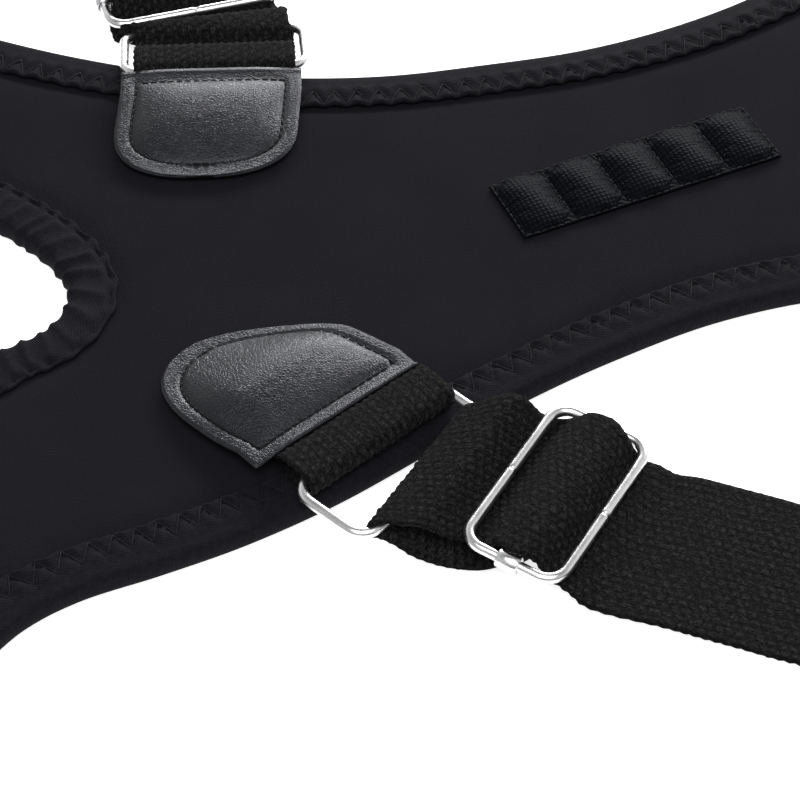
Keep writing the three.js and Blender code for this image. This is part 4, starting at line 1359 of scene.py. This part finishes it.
class BRACE_OT_straps(bpy.types.Operator):
    """Adds the webbing straps from the slide buckles round to the arms."""

    bl_idname = "brace.straps"
    bl_label = "Straps"

    ROUTE_STEPS = 3
    BULGE, BULGE_AT, BULGE_REACH = 2.0, 0.8, 4.8
    HANG, HANG_REACH, CURL_REACH = 1.4, 6, 6
    WIDENS, TURN_WIDENS = (1, 4), (0.6, 5)
    PAST_TURN = 1.1
    ON_TO_ARM = ((9, 0.6), (2, 1.0), (-ARM["sewn"], 1.0))
    SEAM_MARGIN, SEAM_SHORT, SEAM_PITCH = 4.0, 7.0, 2.4

    def execute(self, context):
        size = sizes_in_mm(context)
        rng = np.random.default_rng(SEED + 2)
        for side in SIDES:
            web = Webbing(self.loop(side, size) + self.route(side, size), size, rng)
            piece = web.add(context, f"webbing_{side}", f"strap_{side}")
            seam = self.end_seam(context, size, side, web)
        return {"FINISHED"}

    def profile(self, slider, turn_s, turn_z, size):
        """The strap's run in the plane of its loop, in four parts.

        Each row is s along the slider's heading, z up and, where it slips sideways, the share."""
        thick, wire = size.webbing_thick, size.wire_radius
        radius = turn_radius(size)
        lying = FLOOR_GAP + thick / 2
        under = wire + 2 * PIECE_GAP + thick / 2
        wrap = SLIDER["bar_radius"] + PIECE_GAP + thick / 2
        over = slider["mid"] + wrap + thick + PIECE_GAP
        bar = SLIDER["depth"] / 2
        held = (-bar - turn_s) / 2
        lower_turn, upper_turn = turn_z - radius, turn_z + radius
        near_bar, far_bar = slider["near"] - under, slider["far"] - under

        def mix(a, b, share):
            return a + (b - a) * share

        sewn_end = [
            (-4.6, slider["mid"] + wrap - 1.1),
            (-2.2, slider["mid"] + wrap - 0.2),
            *bend(0, slider["mid"], wrap, 90, -90, 6),
        ]
        lower_layer = [
            (-4, mix(slider["mid"] - wrap, lying, 0.45), 0.5),
            (-8.5, lying, 0.8),
            (turn_s + held + 4.5, mix(lying, lower_turn, 0.12), 1.0),
            (turn_s + held, mix(lying, lower_turn, 0.6), 0.9),
            (turn_s + held * 0.45, lower_turn, 0.35),
        ]
        upper_layer = [
            *bend(turn_s, turn_z, radius, -90, -270, 6),
            (turn_s + 1.4, upper_turn + 0.25),
            (turn_s + held * 0.6, upper_turn + 0.3),
            (turn_s + held, upper_turn),
        ]
        through_slider = [
            (-bar - 2.2, near_bar + 0.9), (-bar + 0.4, near_bar), (-bar + 3, near_bar + 1.2),
            (-4.6, over - 1.9), (-2.4, over - 0.2), (0, over), (2.8, over - 0.1), (5.6, over - 1.7),
            (bar - 2.6, far_bar + 1.7), (bar, far_bar), (bar + 2.6, mix(far_bar, lying, 0.1)),
            (bar + 6, mix(far_bar, lying, 0.45)),
        ]
        return sewn_end, lower_layer, upper_layer, through_slider

    def loop(self, side, size):
        fittings = SIDES[side]
        slider, fold = fittings["slider"], fittings["fold"]
        centre = np.array((slider["x"], slider["y"]))
        onward = heading(slider["heading"])
        turn_in = turn_radius(size) + size.webbing_thick / 2 - fold["inset"]
        turn = step(ring_place(side)[0], heading(fold["heading"]), turn_in, fold["slide"])
        turn_s = float((turn - centre) @ onward)
        turn_across = float((turn - centre) @ left_of(onward))
        bar = SLIDER["depth"] / 2
        stations = []
        parts = self.profile(slider, turn_s, fittings["ring"]["strap_bar"], size)
        held_widths = (size.webbing_held, size.webbing_width, fold["width"], size.webbing_passing)
        curls = (0.0, 0.0, fold["curl"], 0.0)
        for rows, held, curl in zip(parts, held_widths, curls):
            for s, z, *slip in rows:
                share = min(max((s + bar) / (turn_s + bar), 0), self.PAST_TURN)
                way = heading(slider["heading"] + (fold["heading"] - slider["heading"]) * min(share, 1))
                middle = step(centre, onward, s, turn_across * share + sum(slip) * fold["slip"])
                free = float(ease(abs(s) - bar, *self.WIDENS) * ease(s - turn_s, *self.TURN_WIDENS))
                width = held + (size.webbing_width - held) * free
                lifted = curl * float(ease(s - turn_s, 0, self.CURL_REACH))
                hanging = 0.0
                if rows is parts[-1]:
                    bulge = 1 - ((s - self.BULGE_AT) / self.BULGE_REACH) ** 2
                    width += self.BULGE * max(0.0, bulge)
                    hanging = self.HANG * (1 - float(ease(abs(s), self.HANG_REACH, bar - 1)))
                stations.append((*middle, z, *left_of(way), 0.0, width, lifted, hanging))
        return stations

    def route(self, side, size):
        """The strap's way round, turning up on edge where it bends, to its sewn end on the arm."""
        arm = ARMS[side]
        way = heading(arm["heading"])
        on_arm = BRACE_OT_bindings.HIGH + PIECE_GAP - FLOOR_GAP
        rows = [(x, y, stand, sum(lift)) for x, y, stand, *lift in STRAP_ROUTES[side]]
        for along, lift in self.ON_TO_ARM:
            rows.append((*step(arm["tip"], way, along), 0.0, on_arm * lift))
        rows = np.array(rows, float)
        curve = smooth_path(rows[:, :2], self.ROUTE_STEPS)
        ahead = unit(np.gradient(curve, axis=0))
        index = np.arange(len(curve)) / self.ROUTE_STEPS
        stand, lift = (np.interp(index, np.arange(len(rows)), rows[:, k]) for k in (2, 3))
        turn = stand * math.pi / 2
        across = np.column_stack((-ahead[:, 1] * np.cos(turn), ahead[:, 0] * np.cos(turn), np.sin(turn)))
        width, thick = size.webbing_width, size.webbing_thick
        z = FLOOR_GAP + lift + (width * np.sin(turn) + thick * np.cos(turn)) / 2
        columns = (curve, z, across, np.full(len(curve), width), 0 * z, 0 * z)
        return [tuple(row) for row in np.column_stack(columns)]

    def end_seam(self, context, size, side, web):
        """The stitched box that holds the strap's end on the arm."""
        box, half = ARM["sewn"] - self.SEAM_SHORT, size.webbing_width / 2 - self.SEAM_MARGIN
        a, b, c, d = (0, -half), (box, -half), (box, half), (0, half)
        line, run = evenly(np.array((a, b, c, d, a, c, b, d), float), 0.5, 2)
        lift = size.webbing_thick / 2 + size.thread_radius * 0.6
        both = []
        for ends in stitch_ends(line, run, self.SEAM_PITCH, (0.08, 0.92)):
            back, sideways = ends.T
            at = web.run[-1] - self.SEAM_MARGIN - back
            rows = (web.middle, web.across, web.normal)
            middle, across, normal = (at_run(at, web.run, columns) for columns in rows)
            both.append(middle + across * sideways[:, None] + normal * lift)
        return sew(context, f"webbing_seam_{side}", "webbing", *both, size.thread_radius)


class BRACE_OT_hook_patch(bpy.types.Operator):
    """Adds the hook tape on the end of the belt."""

    bl_idname = "brace.hook_patch"
    bl_label = "Hook patch"

    CORNER, CORNER_LEAST, CORNER_STEPS = 6.0, 0.4, 6
    MARGIN = 3.2
    RIM = (
        (0.0, 0.0), (0.0, 0.75), (0.35, 1.0), (1.2, 1.0), (MARGIN - 0.6, 0.95), (MARGIN + 0.6, 1.0),
    )
    FILL = 18
    PITCH = 2.4

    def execute(self, context):
        size = sizes_in_mm(context)
        low, high = HOOK_BOX - ORIGIN
        half, middle = (high - low)[:2] / 2, (high + low)[:2] / 2
        rings = [(by, low[2] + (high[2] - low[2]) * rise) for by, rise in self.RIM]
        rings += [(by, high[2]) for by in np.linspace(self.MARGIN + 2, half.min() - 0.5, self.FILL)]
        shape = loft(np.array([self.ring(half, middle, *ring) for ring in rings]))
        run = np.column_stack((shape[0][:, :2] - middle, np.zeros(len(shape[0]))))
        piece = add_piece(context, "hook_tape", shape, "hook tape", "hook_patch", run=run)
        edge = self.ring(half, middle, self.MARGIN, high[2] + 0.02)
        line, along = evenly(np.vstack((edge, edge[:1])), 0.5, 3)
        ends = stitch_ends(line, along, self.PITCH, (0.08, 0.92))
        seam = sew(context, "hook_seam", "hook_tape", *ends, size.thread_radius)
        return {"FINISHED"}

    def ring(self, half, middle, by, height):
        """The patch's outline so far inside its edge, at a height."""
        corner = max(self.CORNER - by, self.CORNER_LEAST)
        line = np.array(rounded_box(*(half - by), corner, self.CORNER_STEPS)) + middle
        return np.column_stack((line, np.full(len(line), height)))


class BRACE_PT_pieces(bpy.types.Panel):
    """Lists the pieces in the sidebar."""

    bl_label = "Posture corrector"
    bl_idname = "BRACE_PT_pieces"
    bl_space_type = "VIEW_3D"
    bl_region_type = "UI"
    bl_category = "Brace"

    def draw(self, context):
        for operator in OPERATORS:
            self.layout.operator(operator.bl_idname)
        for group in PROPERTY_GROUPS:
            box = self.layout.box()
            for name in PROPERTY_GROUPS[group].__annotations__:
                box.prop(getattr(context.scene, group), name)


OPERATORS = (
    BRACE_OT_stage,
    BRACE_OT_panel,
    BRACE_OT_bindings,
    BRACE_OT_pocket_strip,
    BRACE_OT_patches,
    BRACE_OT_ring_tabs,
    BRACE_OT_rings,
    BRACE_OT_sliders,
    BRACE_OT_straps,
    BRACE_OT_hook_patch,
)
PROPERTY_GROUPS = {
    "brace_sizes": BraceSizes,
    "brace_colours": BraceColours,
    "brace_studio": BraceStudio,
}


def register():
    for group, kind in PROPERTY_GROUPS.items():
        bpy.utils.register_class(kind)
        setattr(bpy.types.Scene, group, PointerProperty(type=kind))
    for kind in (*OPERATORS, BRACE_PT_pieces):
        bpy.utils.register_class(kind)


def unregister():
    for kind in reversed((*OPERATORS, BRACE_PT_pieces)):
        bpy.utils.unregister_class(kind)
    for group, kind in PROPERTY_GROUPS.items():
        delattr(bpy.types.Scene, group)
        bpy.utils.unregister_class(kind)


def main():
    register()
    for operator in OPERATORS:
        folder, name = operator.bl_idname.split(".")
        getattr(getattr(bpy.ops, folder), name)()


if __name__ == "__main__":
    main()
